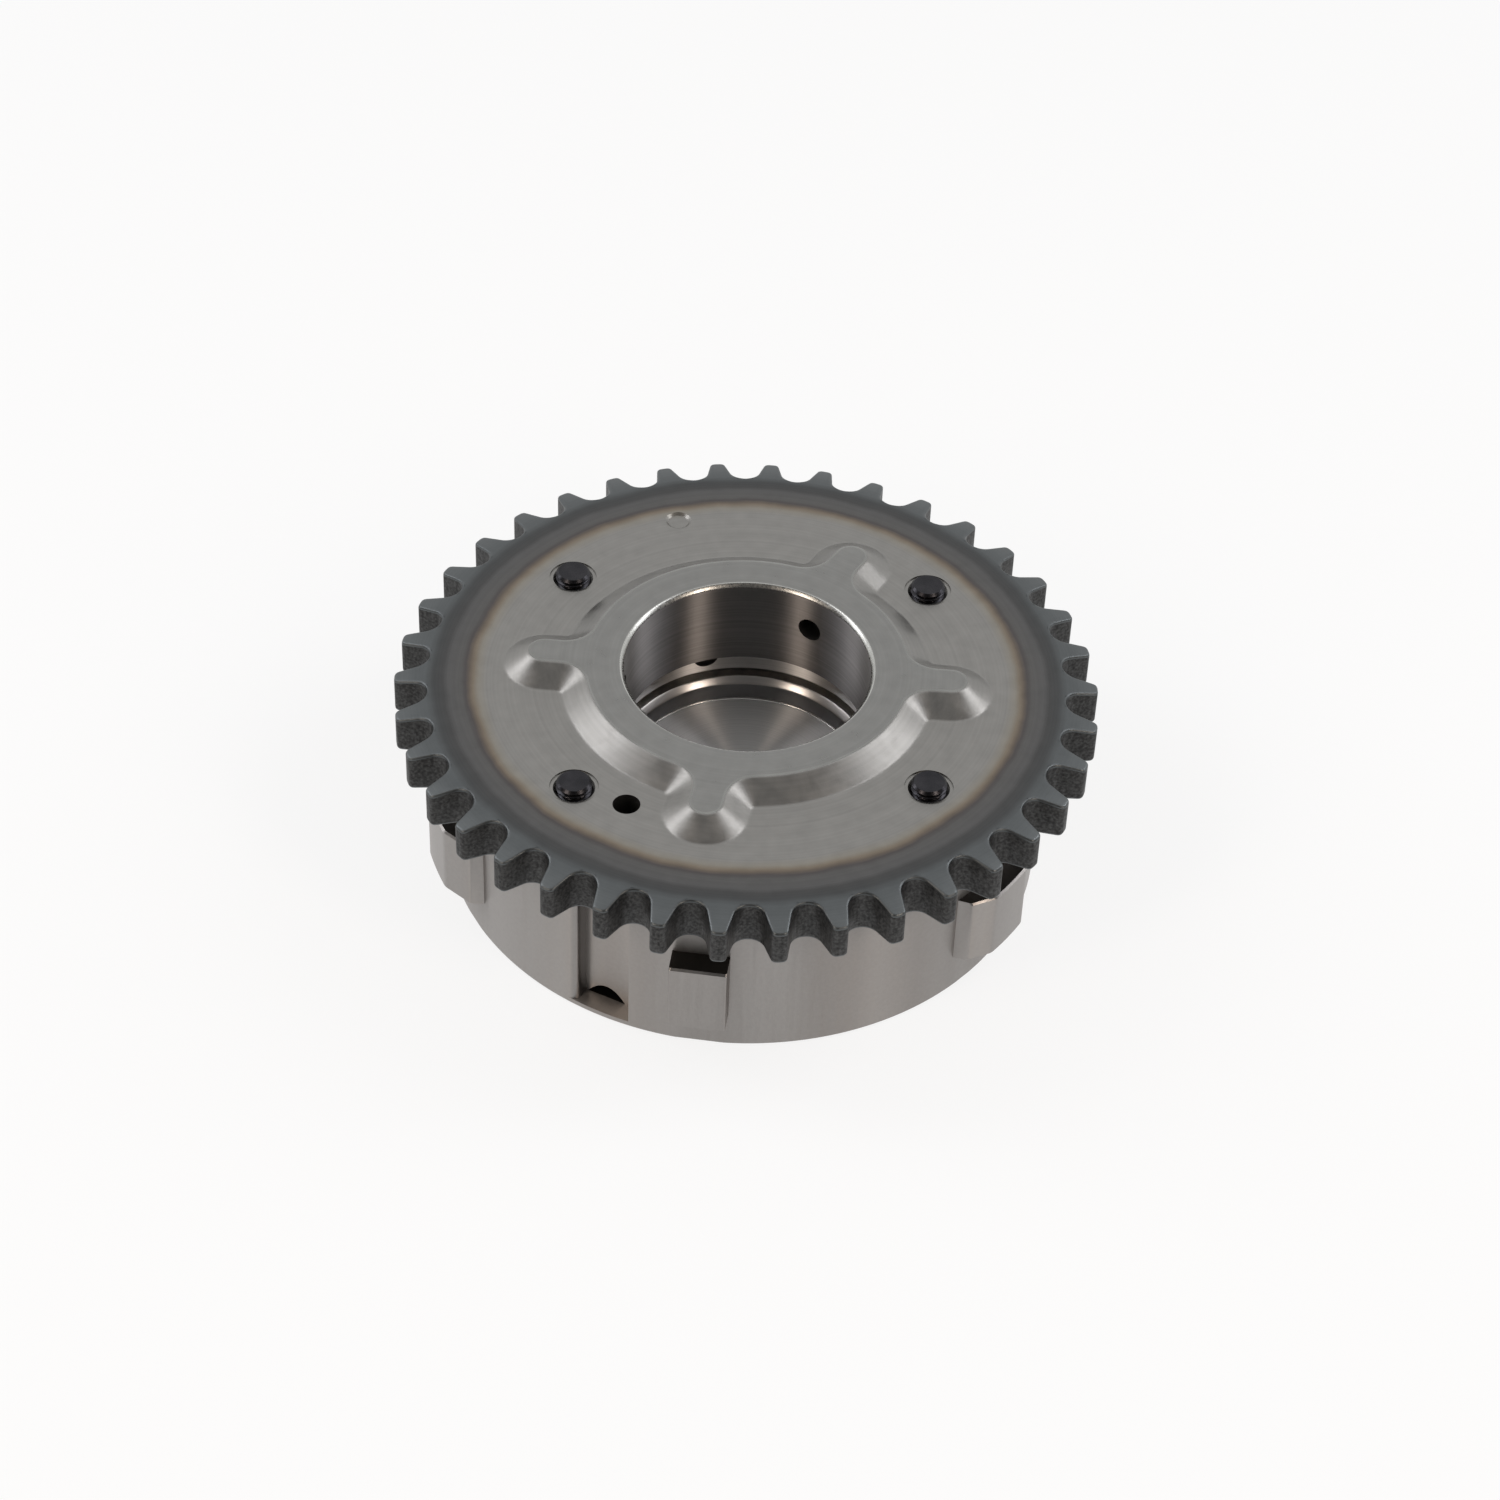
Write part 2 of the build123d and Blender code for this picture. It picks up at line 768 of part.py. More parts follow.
def leaf(angle, floor, crown):
    """A bent strip whose ends touch the groove's floor and whose flat crown meets the seal."""
    strip_thickness = leaf_thickness if crown > floor else -leaf_thickness
    with BuildPart() as strip:
        with BuildSketch(radial_plane(angle)):
            with BuildLine():
                Polyline(
                    (floor, leaf_middle - leaf_span / 2),
                    (crown - strip_thickness, leaf_middle - leaf_crown_length / 2),
                    (crown - strip_thickness, leaf_middle + leaf_crown_length / 2),
                    (floor, leaf_middle + leaf_span / 2),
                    (floor + strip_thickness, leaf_middle + leaf_span / 2),
                    (crown, leaf_middle + leaf_crown_length / 2),
                    (crown, leaf_middle - leaf_crown_length / 2),
                    (floor + strip_thickness, leaf_middle - leaf_span / 2),
                    close=True,
                )
            make_face()
        extrude(amount=leaf_width / 2, both=True)
    return strip.part


for number, angle in enumerate(vane_angles, start=1):
    vane_leaf = leaf(
        angle,
        vane_groove_floor + leaf_room,
        vane_seal_outer - seal_thickness - leaf_room,
    )
    vane_leaf.label = f"vane_seal_spring_{number}"
    export_step(vane_leaf, f"parts/vane_seal_spring_{number}.step")

for number, angle in enumerate(shoe_angles, start=1):
    shoe_leaf = leaf(
        angle,
        shoe_groove_floor - leaf_room,
        shoe_seal_outer + leaf_room,
    )
    shoe_leaf.label = f"shoe_seal_spring_{number}"
    export_step(shoe_leaf, f"parts/shoe_seal_spring_{number}.step")
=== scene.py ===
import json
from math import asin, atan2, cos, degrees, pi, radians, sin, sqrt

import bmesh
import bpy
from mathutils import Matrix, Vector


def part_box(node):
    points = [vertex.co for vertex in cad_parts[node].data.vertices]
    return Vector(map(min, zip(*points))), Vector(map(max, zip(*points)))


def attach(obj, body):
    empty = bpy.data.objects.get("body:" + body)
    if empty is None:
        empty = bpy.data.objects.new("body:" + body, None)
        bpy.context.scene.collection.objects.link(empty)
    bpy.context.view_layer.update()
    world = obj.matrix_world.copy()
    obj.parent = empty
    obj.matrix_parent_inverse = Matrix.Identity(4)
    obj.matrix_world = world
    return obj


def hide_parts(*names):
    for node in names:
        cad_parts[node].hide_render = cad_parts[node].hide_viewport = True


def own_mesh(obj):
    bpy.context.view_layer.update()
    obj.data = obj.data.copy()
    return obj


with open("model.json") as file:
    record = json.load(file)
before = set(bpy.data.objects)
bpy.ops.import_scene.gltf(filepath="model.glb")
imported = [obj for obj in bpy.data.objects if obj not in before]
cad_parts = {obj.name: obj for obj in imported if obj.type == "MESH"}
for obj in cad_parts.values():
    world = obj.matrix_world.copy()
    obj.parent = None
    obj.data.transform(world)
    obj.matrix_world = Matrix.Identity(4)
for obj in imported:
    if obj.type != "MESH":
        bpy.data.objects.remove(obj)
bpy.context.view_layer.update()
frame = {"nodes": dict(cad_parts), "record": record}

# %% [markdown]
# # A cam phaser in Blender
#
# The phaser is a chain wheel screwed to a round steel housing. Inside turns a rotor with four vanes, and oil
# between the vanes and the housing's shoes shifts the timing of the camshaft. The CAD model gives every
# piece its place and size. This file gives the pieces that the eye meets their fine shapes and finishes.
#
# Everything is in metres. The origin lies on the phaser's axis, in the front face, and +Z points to the
# camshaft.

mm = 0.001

# %% [markdown]
# ## Helpers for every node tree
#
# Shader trees and geometry trees are built the same way: a node is added, its settings are given by name,
# and each input is either a plain value or another node's output, which is then linked.


# %% Nodes, sums and objects
def add_node(tree, kind, inputs=None, **settings):
    node = tree.nodes.new(kind)
    for name, value in settings.items():
        setattr(node, name, value)
    for socket, value in (inputs or {}).items():
        if isinstance(value, bpy.types.NodeSocket):
            tree.links.new(value, node.inputs[socket])
        else:
            node.inputs[socket].default_value = value
    return node


def feed(tree, kind, inputs=None, **settings):
    """Adds a node and gives its first output."""
    return add_node(tree, kind, inputs, **settings).outputs[0]


def maths(tree, operation, first, second=0.0, third=0.0):
    return feed(tree, "ShaderNodeMath", {0: first, 1: second, 2: third}, operation=operation)


def rescale(tree, value, low, high, new_low=0.0, new_high=1.0):
    """Stretches a value from one span to another and holds it at the ends."""
    return feed(tree, "ShaderNodeMapRange", {0: value, 1: low, 2: high, 3: new_low, 4: new_high})


def add_object(name, data):
    thing = bpy.data.objects.new(name, data)
    bpy.context.collection.objects.link(thing)
    return thing


# %% [markdown]
# ## The camera
#
# The photograph looks down on the camshaft side at about 43 degrees, from far enough away that the wheel's
# near and far teeth are almost the same size. That asks for a long lens. The camera is turned a little about
# its own axis, because the object sits slightly tilted in the picture.

# %% Camera
camera_lens = 90.2
camera_place = Vector((0.0, -477.6 * mm, 461.7 * mm))
camera_elevation = 42.8
camera_heading = 0.12
camera_roll = 2.4

camera_data = bpy.data.cameras.new("camera")
camera_data.lens = camera_lens
camera_data.clip_start = 10 * mm
camera = add_object("camera", camera_data)
camera.matrix_world = (
    Matrix.Translation(camera_place)
    @ Matrix.Rotation(radians(-camera_heading), 4, "Z")
    @ Matrix.Rotation(radians(90 - camera_elevation), 4, "X")
    @ Matrix.Rotation(radians(camera_roll), 4, "Z")
)
bpy.context.scene.camera = camera
print("Camera stands", round(camera_place.length, 3), "m from the origin")

# %% [markdown]
# ## Light and floor
#
# Bare steel looks like what it reflects. The room is plain white, but a reflection finds it dim on the side
# where the photographer stands, which gives the bore its dark middle, and bright again overhead. The camera
# sees it white all round, and for other light it is less bright than the lamps.

# %% White room
bpy.context.scene.view_settings.view_transform = "Standard"
white = (1, 1, 1, 1)
room_light = 0.45
dim_side = 0.08
dim_from, dim_to = 0.55, 0.0
ceiling_from, ceiling_share = 0.8, 2.8


def seen_directly(tree):
    """One for rays from the camera, from a reflection or through glass, and nothing for the rest."""
    rays = add_node(tree, "ShaderNodeLightPath").outputs
    seen = maths(tree, "MAXIMUM", rays["Is Camera Ray"], rays["Is Glossy Ray"])
    return maths(tree, "MAXIMUM", seen, rays["Is Transmission Ray"])


world = bpy.data.worlds.new("white_room")
world.use_nodes = True
bpy.context.scene.world = world
tree = world.node_tree
tree.nodes.clear()
sky = feed(tree, "ShaderNodeBackground", {"Color": white, "Strength": room_light})
direction = add_node(tree, "ShaderNodeTexCoord").outputs["Generated"]
parts = add_node(tree, "ShaderNodeSeparateXYZ", {0: direction}).outputs
ceiling = maths(tree, "MAXIMUM", maths(tree, "SUBTRACT", parts["Z"], ceiling_from), 0.0)
away = maths(tree, "MULTIPLY_ADD", ceiling, ceiling_share, parts["Y"])
dimmed = rescale(tree, away, dim_to, dim_from, dim_side, 1.0)
shining = add_node(tree, "ShaderNodeLightPath").outputs["Is Glossy Ray"]
dimming = maths(tree, "MULTIPLY", shining, maths(tree, "SUBTRACT", dimmed, 1.0))
sockets = {"Color": white, "Strength": maths(tree, "ADD", dimming, 1.0)}
backdrop = feed(tree, "ShaderNodeBackground", sockets)
both = feed(tree, "ShaderNodeMixShader", {0: seen_directly(tree), 1: sky, 2: backdrop})
add_node(tree, "ShaderNodeOutputWorld", {"Surface": both})
print("The room gives", room_light, "of white, and", dim_side, "in reflections on its dim side")

# %% [markdown]
# Four tall soft boxes stand round the object. The outer two, a little behind it, draw the bright patches on
# the sloped ends of the arms. The inner two are warmer, and draw the two upright streaks in the bore.

# %% Four soft boxes
camera_side = -90
lamp_distance = 0.95
cool, warm = (0.97, 0.97, 1.0), (1.0, 0.86, 0.74)


def soft_box(name, turn, elevation, width, height, power, colour):
    """A lamp that is turned about the object from the camera's own direction and aimed at the object."""
    heading = radians(camera_side + turn)
    level = lamp_distance * cos(radians(elevation))
    rise = lamp_distance * sin(radians(elevation))
    place = Vector((level * cos(heading), level * sin(heading), rise))
    data = bpy.data.lights.new(name, "AREA")
    data.shape = "RECTANGLE"
    data.size = width
    data.size_y = height
    data.energy = power
    data.color = colour
    aim = (-place).to_track_quat("-Z", "Y").to_matrix().to_4x4()
    add_object(name, data).matrix_world = Matrix.Translation(place) @ aim
    print(name, "stands at", [round(value, 2) for value in place])


for side, sign in (("right", 1), ("left", -1)):
    soft_box(f"outer_{side}", 106 * sign, elevation=38, width=0.28, height=0.70, power=2.5, colour=cool)
    soft_box(f"inner_{side}", 47 * sign, elevation=34, width=0.18, height=0.45, power=2.2, colour=warm)

# %% Floor
floor_half = 3.0
floor_paint = (0.86, 0.86, 0.86, 1)
floor_glow = 0.8

floor_mesh = bpy.data.meshes.new("floor")
corners = [(-1, -1), (1, -1), (1, 1), (-1, 1)]
floor_mesh.from_pydata([(x * floor_half, y * floor_half, 0) for x, y in corners], [], [(0, 1, 2, 3)])
floor = add_object("floor", floor_mesh)

floor_finish = bpy.data.materials.new("floor_paint")
floor_finish.use_nodes = True
tree = floor_finish.node_tree
tree.nodes.clear()
paint = feed(tree, "ShaderNodeBsdfDiffuse", {"Color": floor_paint})
glow = feed(tree, "ShaderNodeEmission", {"Color": white, "Strength": 1.0})
share = maths(tree, "MULTIPLY", seen_directly(tree), floor_glow)
surface = feed(tree, "ShaderNodeMixShader", {0: share, 1: paint, 2: glow})
add_node(tree, "ShaderNodeOutputMaterial", {"Surface": surface})
floor_mesh.materials.append(floor_finish)

# %% [markdown]
# ## Patterns that the finishes share
#
# Every finish has three things of its own: how its colour drifts, how rough it is, and which marks the tool
# left on it. A pattern is read from the object's own coordinates, so it stays on the piece when it moves.
#
# Turning leaves rings about the axis. A noise that is fed with only the distance from the axis and the
# height is the same all the way round, so it makes rings on a flat face and on a wall alike.

# %% Helpers for finishes
finishes = {}
usual_noise = (0.3, 0.7)


def new_finish(name, metallic=1.0):
    """A new material: its node tree, its shader and the place on the object in mm."""
    finish = bpy.data.materials.new(name)
    finish.use_nodes = True
    tree = finish.node_tree
    tree.nodes.clear()
    shader = add_node(tree, "ShaderNodeBsdfPrincipled", {"Metallic": metallic})
    add_node(tree, "ShaderNodeOutputMaterial", {"Surface": shader.outputs[0]})
    where = add_node(tree, "ShaderNodeTexCoord").outputs["Object"]
    sockets = {0: where, 1: (1 / mm, 1 / mm, 1 / mm)}
    finishes[name] = finish
    return tree, shader, feed(tree, "ShaderNodeVectorMath", sockets, operation="MULTIPLY")


def set_finish(tree, shader, colour, roughness, normal):
    for socket, value in (("Base Color", colour), ("Roughness", roughness), ("Normal", normal)):
        tree.links.new(value, shader.inputs[socket])


def radius_and_height(tree, place):
    """The distance from the axis and the height."""
    level = feed(tree, "ShaderNodeVectorMath", {0: place, 1: (1, 1, 0)}, operation="MULTIPLY")
    length = add_node(tree, "ShaderNodeVectorMath", {0: level}, operation="LENGTH")
    return length.outputs["Value"], add_node(tree, "ShaderNodeSeparateXYZ", {0: place}).outputs["Z"]


def noise(tree, vector, size, detail=2.0, stretch=(1, 1, 1)):
    """Noise whose patches are about as large as the size, in mm."""
    mapped = feed(tree, "ShaderNodeMapping", {"Vector": vector, "Scale": stretch})
    return feed(tree, "ShaderNodeTexNoise", {"Vector": mapped, "Scale": 1 / size, "Detail": detail})


def turned_rings(tree, place, width):
    radius, height = radius_and_height(tree, place)
    path = feed(tree, "ShaderNodeCombineXYZ", {"X": radius, "Y": height})
    return noise(tree, path, width, detail=3.0)


def spread(tree, pattern, low, high, reach=usual_noise):
    """Stretches a noise, most of which lies within its reach, from low to high."""
    return rescale(tree, pattern, *reach, low, high)


# %% Helpers for colours and bumps
def with_alpha(colour):
    return colour if isinstance(colour, bpy.types.NodeSocket) else (*colour, 1)


def blend_colours(tree, share, first, second, blend_type="MIX"):
    """Mixes two colours. On the node they are inputs 6 and 7, and the mixed colour is output 2."""
    sockets = {0: share, 6: with_alpha(first), 7: with_alpha(second)}
    mix = add_node(tree, "ShaderNodeMix", sockets, data_type="RGBA", blend_type=blend_type)
    return mix.outputs[2]


def colour_along(tree, value, stops):
    """A colour that changes along a value. Each stop is a value and the colour there."""
    low, high = stops[0][0], stops[-1][0]
    ramp = add_node(tree, "ShaderNodeValToRGB", {0: rescale(tree, value, low, high)})
    elements = ramp.color_ramp.elements
    elements.remove(elements[1])
    for number, (place, colour) in enumerate(stops):
        share = (place - low) / (high - low)
        element = elements.new(share) if number else elements[0]
        element.position = share
        element.color = (*colour, 1)
    return ramp.outputs["Color"]


def drifting(tree, colour, drift, amount):
    """A colour made darker and lighter by a noise."""
    shade = spread(tree, drift, 1 - amount, 1 + amount)
    grey = feed(tree, "ShaderNodeCombineColor", {0: shade, 1: shade, 2: shade})
    return blend_colours(tree, 1.0, colour, grey, "MULTIPLY")


def bump(tree, pattern, strength, depth=0.01, base=None):
    """A relief whose depth is in mm, on top of another one if a base is given."""
    sockets = {"Height": pattern, "Strength": strength, "Distance": depth * mm}
    if base:
        sockets["Normal"] = base
    return feed(tree, "ShaderNodeBump", sockets)


# %% [markdown]
# ## Plain steels
#
# The pieces inside are plain: ground, blackened or left as they were, with a soft drift of colour and a fine
# grain.

# %% Plain steel, for the pieces inside
plain_swing = 0.06


def plain_steel(name, colour, roughness, metallic=1.0, grain=0.5):
    tree, shader, place = new_finish(name, metallic)
    fine = noise(tree, place, grain)
    cloudy = noise(tree, place, size=6.0, detail=3.0)
    rough = spread(tree, fine, roughness - plain_swing, roughness + plain_swing)
    normal = bump(tree, fine, strength=0.25)
    set_finish(tree, shader, drifting(tree, colour, cloudy, amount=0.1), rough, normal)


plain_steel("hard_steel", (0.46, 0.46, 0.47), roughness=0.25)
plain_steel("seat_steel", (0.38, 0.38, 0.39), roughness=0.35)
plain_steel("spring_steel", (0.26, 0.26, 0.28), roughness=0.3)
plain_steel("seal_polymer", (0.10, 0.08, 0.06), roughness=0.6, metallic=0.0, grain=0.3)

# %% [markdown]
# ## The chain wheel's finishes
#
# The teeth were hardened by heating only the rim. The heat left its colours on the plate: bare grey steel in
# the middle, a thin straw line, a brown one, a dark band, and blue-grey teeth. So the colour is a ramp along
# the distance from the axis, and a slow noise lets the lines wander a little, as heat does.
#
# The raised flat was ground after that. It is told apart by its height, and it is a little smoother.

# %% Chain wheel: plate, raised ring and tooth faces
plate_grey = (0.228, 0.223, 0.212)
heat_tints = (
    (44.3, plate_grey),
    (45.7, (0.222, 0.208, 0.182)),
    (46.5, (0.195, 0.165, 0.130)),
    (47.1, (0.135, 0.112, 0.092)),
    (47.8, (0.082, 0.075, 0.074)),
    (48.6, (0.100, 0.098, 0.096)),
    (50.6, (0.096, 0.095, 0.095)),
    (51.6, (0.068, 0.068, 0.068)),
    (53.0, (0.066, 0.068, 0.069)),
    (54.6, (0.096, 0.103, 0.106)),
    (59.0, (0.112, 0.120, 0.123)),
)
heat_wander = 0.4
burnt_from, burnt_to = 46.0, 48.0
ground_grey = (0.215, 0.214, 0.206)
ground_height, ground_blend = 39.0, 0.08
plate_roughness, burnt_rougher, ground_smoother = 0.36, 0.06, 0.04
cloud_swing = 0.05

tree, shader, place = new_finish("wheel_steel")
radius, height = radius_and_height(tree, place)
slow = noise(tree, place, size=9.0, detail=4.0)
cloudy = noise(tree, place, size=3.0, detail=4.0)
grain = noise(tree, place, size=0.35, detail=3.0)
rings = turned_rings(tree, place, width=0.5)
wander = spread(tree, slow, -heat_wander, heat_wander, reach=(0.25, 0.75))
heated = colour_along(tree, maths(tree, "ADD", radius, wander), heat_tints)
ground = rescale(tree, height, ground_height, ground_height + ground_blend)
colour = blend_colours(tree, ground, heated, ground_grey)
colour = drifting(tree, colour, cloudy, amount=0.06)
colour = drifting(tree, colour, rings, amount=0.05)
burnt = rescale(tree, radius, burnt_from, burnt_to)
rough = maths(tree, "MULTIPLY_ADD", burnt, burnt_rougher, plate_roughness)
rough = maths(tree, "MULTIPLY_ADD", ground, -ground_smoother, rough)
rough = maths(tree, "ADD", rough, spread(tree, cloudy, -cloud_swing, cloud_swing))
normal = bump(tree, rings, strength=0.2)
normal = bump(tree, grain, strength=0.35, depth=0.02, base=normal)
set_finish(tree, shader, colour, rough, normal)

# %% Chain wheel: rough, almost black flanks
flank_black, flank_grey = (0.020, 0.020, 0.020), (0.075, 0.076, 0.076)

tree, shader, place = new_finish("tooth_wall", metallic=0.7)
grain = noise(tree, place, size=0.5, detail=4.0)
upright = noise(tree, place, size=0.4, detail=3.0, stretch=(1, 1, 0.12))
colour = blend_colours(tree, spread(tree, grain, 0, 1, reach=(0.35, 0.7)), flank_black, flank_grey)
rough = spread(tree, upright, 0.42, 0.62)
normal = bump(tree, upright, strength=0.4, depth=0.03)
normal = bump(tree, grain, strength=0.5, depth=0.05, base=normal)
set_finish(tree, shader, colour, rough, normal)

# %% [markdown]
# ## Turned faces
#
# Fine turning grooves spread the light across themselves. That is why a turned bore shows upright streaks
# and a turned floor a bright fan. Drawing every groove would need a far finer picture, so the shader does
# it: it is anisotropic, and its tangent runs about the axis and is turned by a quarter, to lie across the
# grooves.

# %% Finish for turned faces
quarter_turn = 0.25
turned_swing = 0.02


def spread_light(tree, shader, amount):
    """Spreads the light across grooves that run about the axis."""
    shader.inputs["Anisotropic"].default_value = amount
    shader.inputs["Anisotropic Rotation"].default_value = quarter_turn
    tangent = feed(tree, "ShaderNodeTangent", direction_type="RADIAL", axis="Z")
    tree.links.new(tangent, shader.inputs["Tangent"])


def turned_steel(name, colour, roughness, ring_width, sparkle_strength, streaks=1.0):
    tree, shader, place = new_finish(name)
    rings = turned_rings(tree, place, ring_width)
    cloudy = noise(tree, place, size=6.0)
    sparkle = noise(tree, place, size=0.25)
    spread_light(tree, shader, streaks)
    colour = drifting(tree, colour, rings, amount=0.12)
    colour = drifting(tree, colour, cloudy, amount=0.05)
    rough = spread(tree, cloudy, roughness - turned_swing, roughness + turned_swing)
    normal = bump(tree, rings, strength=0.15)
    normal = bump(tree, sparkle, sparkle_strength, base=normal)
    set_finish(tree, shader, colour, rough, normal)


turned_steel("bore_steel", (0.22, 0.21, 0.205), 0.5, ring_width=0.4, sparkle_strength=0.1)
turned_steel("turned_floor", (0.50, 0.49, 0.48), 0.5, ring_width=0.25, sparkle_strength=0.8)
turned_steel("lead_in_steel", (0.55, 0.53, 0.51), 0.30, 0.25, sparkle_strength=0.2, streaks=0.5)
turned_steel("recess_steel", (0.75, 0.73, 0.71), 0.5, ring_width=0.4, sparkle_strength=0.1)
plain_steel("ground_steel", (0.55, 0.54, 0.52), roughness=0.20)
plain_steel("rim_steel", (0.42, 0.42, 0.40), roughness=0.28)
plain_steel("bright_edge", (0.24, 0.24, 0.23), roughness=0.18)
plain_steel("rotor_steel", (0.30, 0.30, 0.31), roughness=0.35)
# Near-black steel: painted shade, for the ledges under the teeth and the pocket at the groove's foot.
plain_steel("oily_steel", (0.07, 0.065, 0.06), roughness=0.4)

# %% [markdown]
# ## Housing and screws
#
# The housing's wall spreads the light upright too, as a turned wall does, under faint upright lines and soft
# upright bands of colour. The screws are blackened and oily: dark, but smooth enough to shine.

# %% Housing: upright lines and bands
house_dark, house_light = (0.305, 0.288, 0.276), (0.362, 0.346, 0.334)

tree, shader, place = new_finish("housing_steel")
spread_light(tree, shader, amount=0.8)
bands = noise(tree, place, size=13.0, detail=1.0, stretch=(1, 1, 0.05))
lines = noise(tree, place, size=0.9, detail=4.0, stretch=(1, 1, 0.04))
spots = noise(tree, place, size=0.6, detail=3.0)
colour = blend_colours(tree, spread(tree, bands, 0, 1, reach=(0.35, 0.65)), house_dark, house_light)
colour = drifting(tree, drifting(tree, colour, lines, amount=0.03), spots, amount=0.03)
rough = spread(tree, lines, 0.38, 0.46)
normal = bump(tree, lines, strength=0.12, depth=0.015)
normal = bump(tree, spots, strength=0.2, base=normal)
set_finish(tree, shader, colour, rough, normal)

# %% Screws: blackened and oiled
screw_dark, screw_light = (0.026, 0.026, 0.029), (0.040, 0.039, 0.043)

tree, shader, place = new_finish("black_steel")
cloudy = noise(tree, place, size=2.5)
grain = noise(tree, place, size=0.3)
colour = blend_colours(tree, spread(tree, cloudy, 0, 1), screw_dark, screw_light)
set_finish(tree, shader, colour, spread(tree, grain, 0.26, 0.34), bump(tree, grain, strength=0.15))

# %% Every CAD node gets the finish of its slot
slots = {row["node"]: row["material_slot"] for row in frame["record"]["subparts"]}
for node, cad_piece in frame["nodes"].items():
    cad_piece.data.materials.clear()
    cad_piece.data.materials.append(finishes[slots[node]])
print("Finished", len(slots), "CAD nodes with", len(finishes), "materials")

# %% [markdown]
# ## Rings, strips and fills
#
# Every piece here was turned on a lathe or pressed to a plan outline, so three small helpers make them all.
# A ring is a closed line of points at one height, a strip of faces joins two rings, and a fill closes the
# flat area between the rings of one level. Rounded edges are a few more rings close together, which is what
# catches the light.

# %% Helpers for shapes
merge_distance = 0.0005 * mm
level_tolerance = 0.002 * mm
usual_sharp_angle = 32


def ring(shape, points, height):
    return [shape.verts.new((x, y, height)) for x, y in points]


def strip(shape, first, second, slot=0):
    count = max(len(first), len(second))
    first = first * count if len(first) == 1 else first
    second = second * count if len(second) == 1 else second
    for index in range(count):
        after = (index + 1) % count
        corners = list(dict.fromkeys((first[index], first[after], second[after], second[index])))
        shape.faces.new(corners).material_index = slot


def close_level(shape, height):
    """Closes the flat area between all the open edges that lie at one height."""
    edges = [
        edge
        for edge in shape.edges
        if edge.is_boundary and all(abs(vert.co.z - height) < level_tolerance for vert in edge.verts)
    ]
    made = bmesh.ops.triangle_fill(shape, edges=edges, use_beauty=True)
    for part in made["geom"]:
        if isinstance(part, bmesh.types.BMFace):
            part.material_index = 0


def finish_shape(shape, name, *materials, sharp_angle=usual_sharp_angle):
    """Turns a closed shape into an object, with its faces outwards and its hard edges marked."""
    bmesh.ops.remove_doubles(shape, verts=shape.verts, dist=merge_distance)
    bmesh.ops.recalc_face_normals(shape, faces=shape.faces)
    mesh = bpy.data.meshes.new(name)
    shape.to_mesh(mesh)
    shape.free()
    for material in materials:
        mesh.materials.append(material)
    mesh.shade_smooth()
    mesh.set_sharp_from_angle(angle=radians(sharp_angle))
    return add_object(name, mesh)


def report(piece):
    triangles = sum(len(face.vertices) - 2 for face in piece.data.polygons)
    print(f"{piece.name}: {triangles} triangles, {[round(side / mm, 2) for side in piece.dimensions]} mm")


# %% Helpers for outlines
full_sides = 256
hole_sides = 64


def polar(radius, angle):
    return Vector((radius * cos(radians(angle)), radius * sin(radians(angle))))


def circle(radius, count=full_sides, middle=(0, 0)):
    return [Vector(middle) + polar(radius, 360 * index / count) for index in range(count)]


def ways_between(start, end, widest_step, least=1):
    """Evenly spaced angles between two angles, without the first and the last."""
    sweep = (end - start) % 360
    steps = max(least, round(sweep / widest_step))
    return [start + sweep * step / steps for step in range(1, steps)]


def mirrored(points, angle=0):
    """The points' mirror images across the line at an angle, from the last to the first."""
    axis = polar(1, angle)
    return [2 * axis * point.dot(axis) - point for point in reversed(points)]


def rotated(points, angle):
    """The points, turned about the axis."""
    rotation = Matrix.Rotation(radians(angle), 2)
    return [rotation @ point for point in points]


def chord_end(radius, half_width):
    """The point of a circle that lies half a width beside the x axis, where y is negative."""
    return Vector((sqrt(radius**2 - half_width**2), -half_width))


def corner(before, tip, after, steps=4):
    """Points that round a corner: they run from before to after and bend towards the tip."""
    before, tip, after = Vector(before), Vector(tip), Vector(after)
    shares = [index / steps for index in range(steps + 1)]
    return [before * (1 - s) ** 2 + tip * 2 * s * (1 - s) + after * s**2 for s in shares]


def turn(shape, profile, count=full_sides, middle=(0, 0), slot=0):
    """A turned surface. Each point of the profile is a radius and a height."""
    rings = [
        ring(shape, circle(radius, count, middle) if radius else [middle], height)
        for radius, height in profile
    ]
    for first, second in zip(rings, rings[1:]):
        strip(shape, first, second, slot)


def hole(shape, spot, *steps, sides=hole_sides):
    """An upright cutter, closed at both ends. Each step is a radius and a height."""
    turn(shape, [(0, steps[0][1]), *steps, (0, steps[-1][1])], sides, spot)


def straight_hole(shape, spot, radius, foot, top, sides=hole_sides):
    hole(shape, spot, (radius, foot), (radius, top), sides=sides)


# %% [markdown]
# ## One tooth of the chain wheel
#
# Each gap between two teeth is a round seat for a chain roller, and straight flanks open from it. The
# outline is drawn for one tooth, from the middle of one gap to the middle of the next. Each of its points
# carries the direction that faces away from the steel, so the same outline can be drawn again a little
# further in. That gives the sintered steel's softly rounded edges.

# %% Sizes of a tooth's outline
teeth = 38
chain_pitch = 9.525 * mm
seat_radius = 2.7 * mm
seat_centre_drop = 0.6 * mm
seat_steps = 10
flank_angle = 18.0
first_gap_angle = 16.18
tip_corner = 0.8 * mm
tip_above_pitch = 2.33 * mm
half_pitch_angle = 180 / teeth
pitch_radius = chain_pitch / 2 / sin(radians(half_pitch_angle))
seat_centre = pitch_radius - seat_centre_drop
root_radius = seat_centre - seat_radius
tip_radius = pitch_radius + tip_above_pitch
print("Pitch radius", round(pitch_radius / mm, 2), "mm, root radius", round(root_radius / mm, 2), "mm")


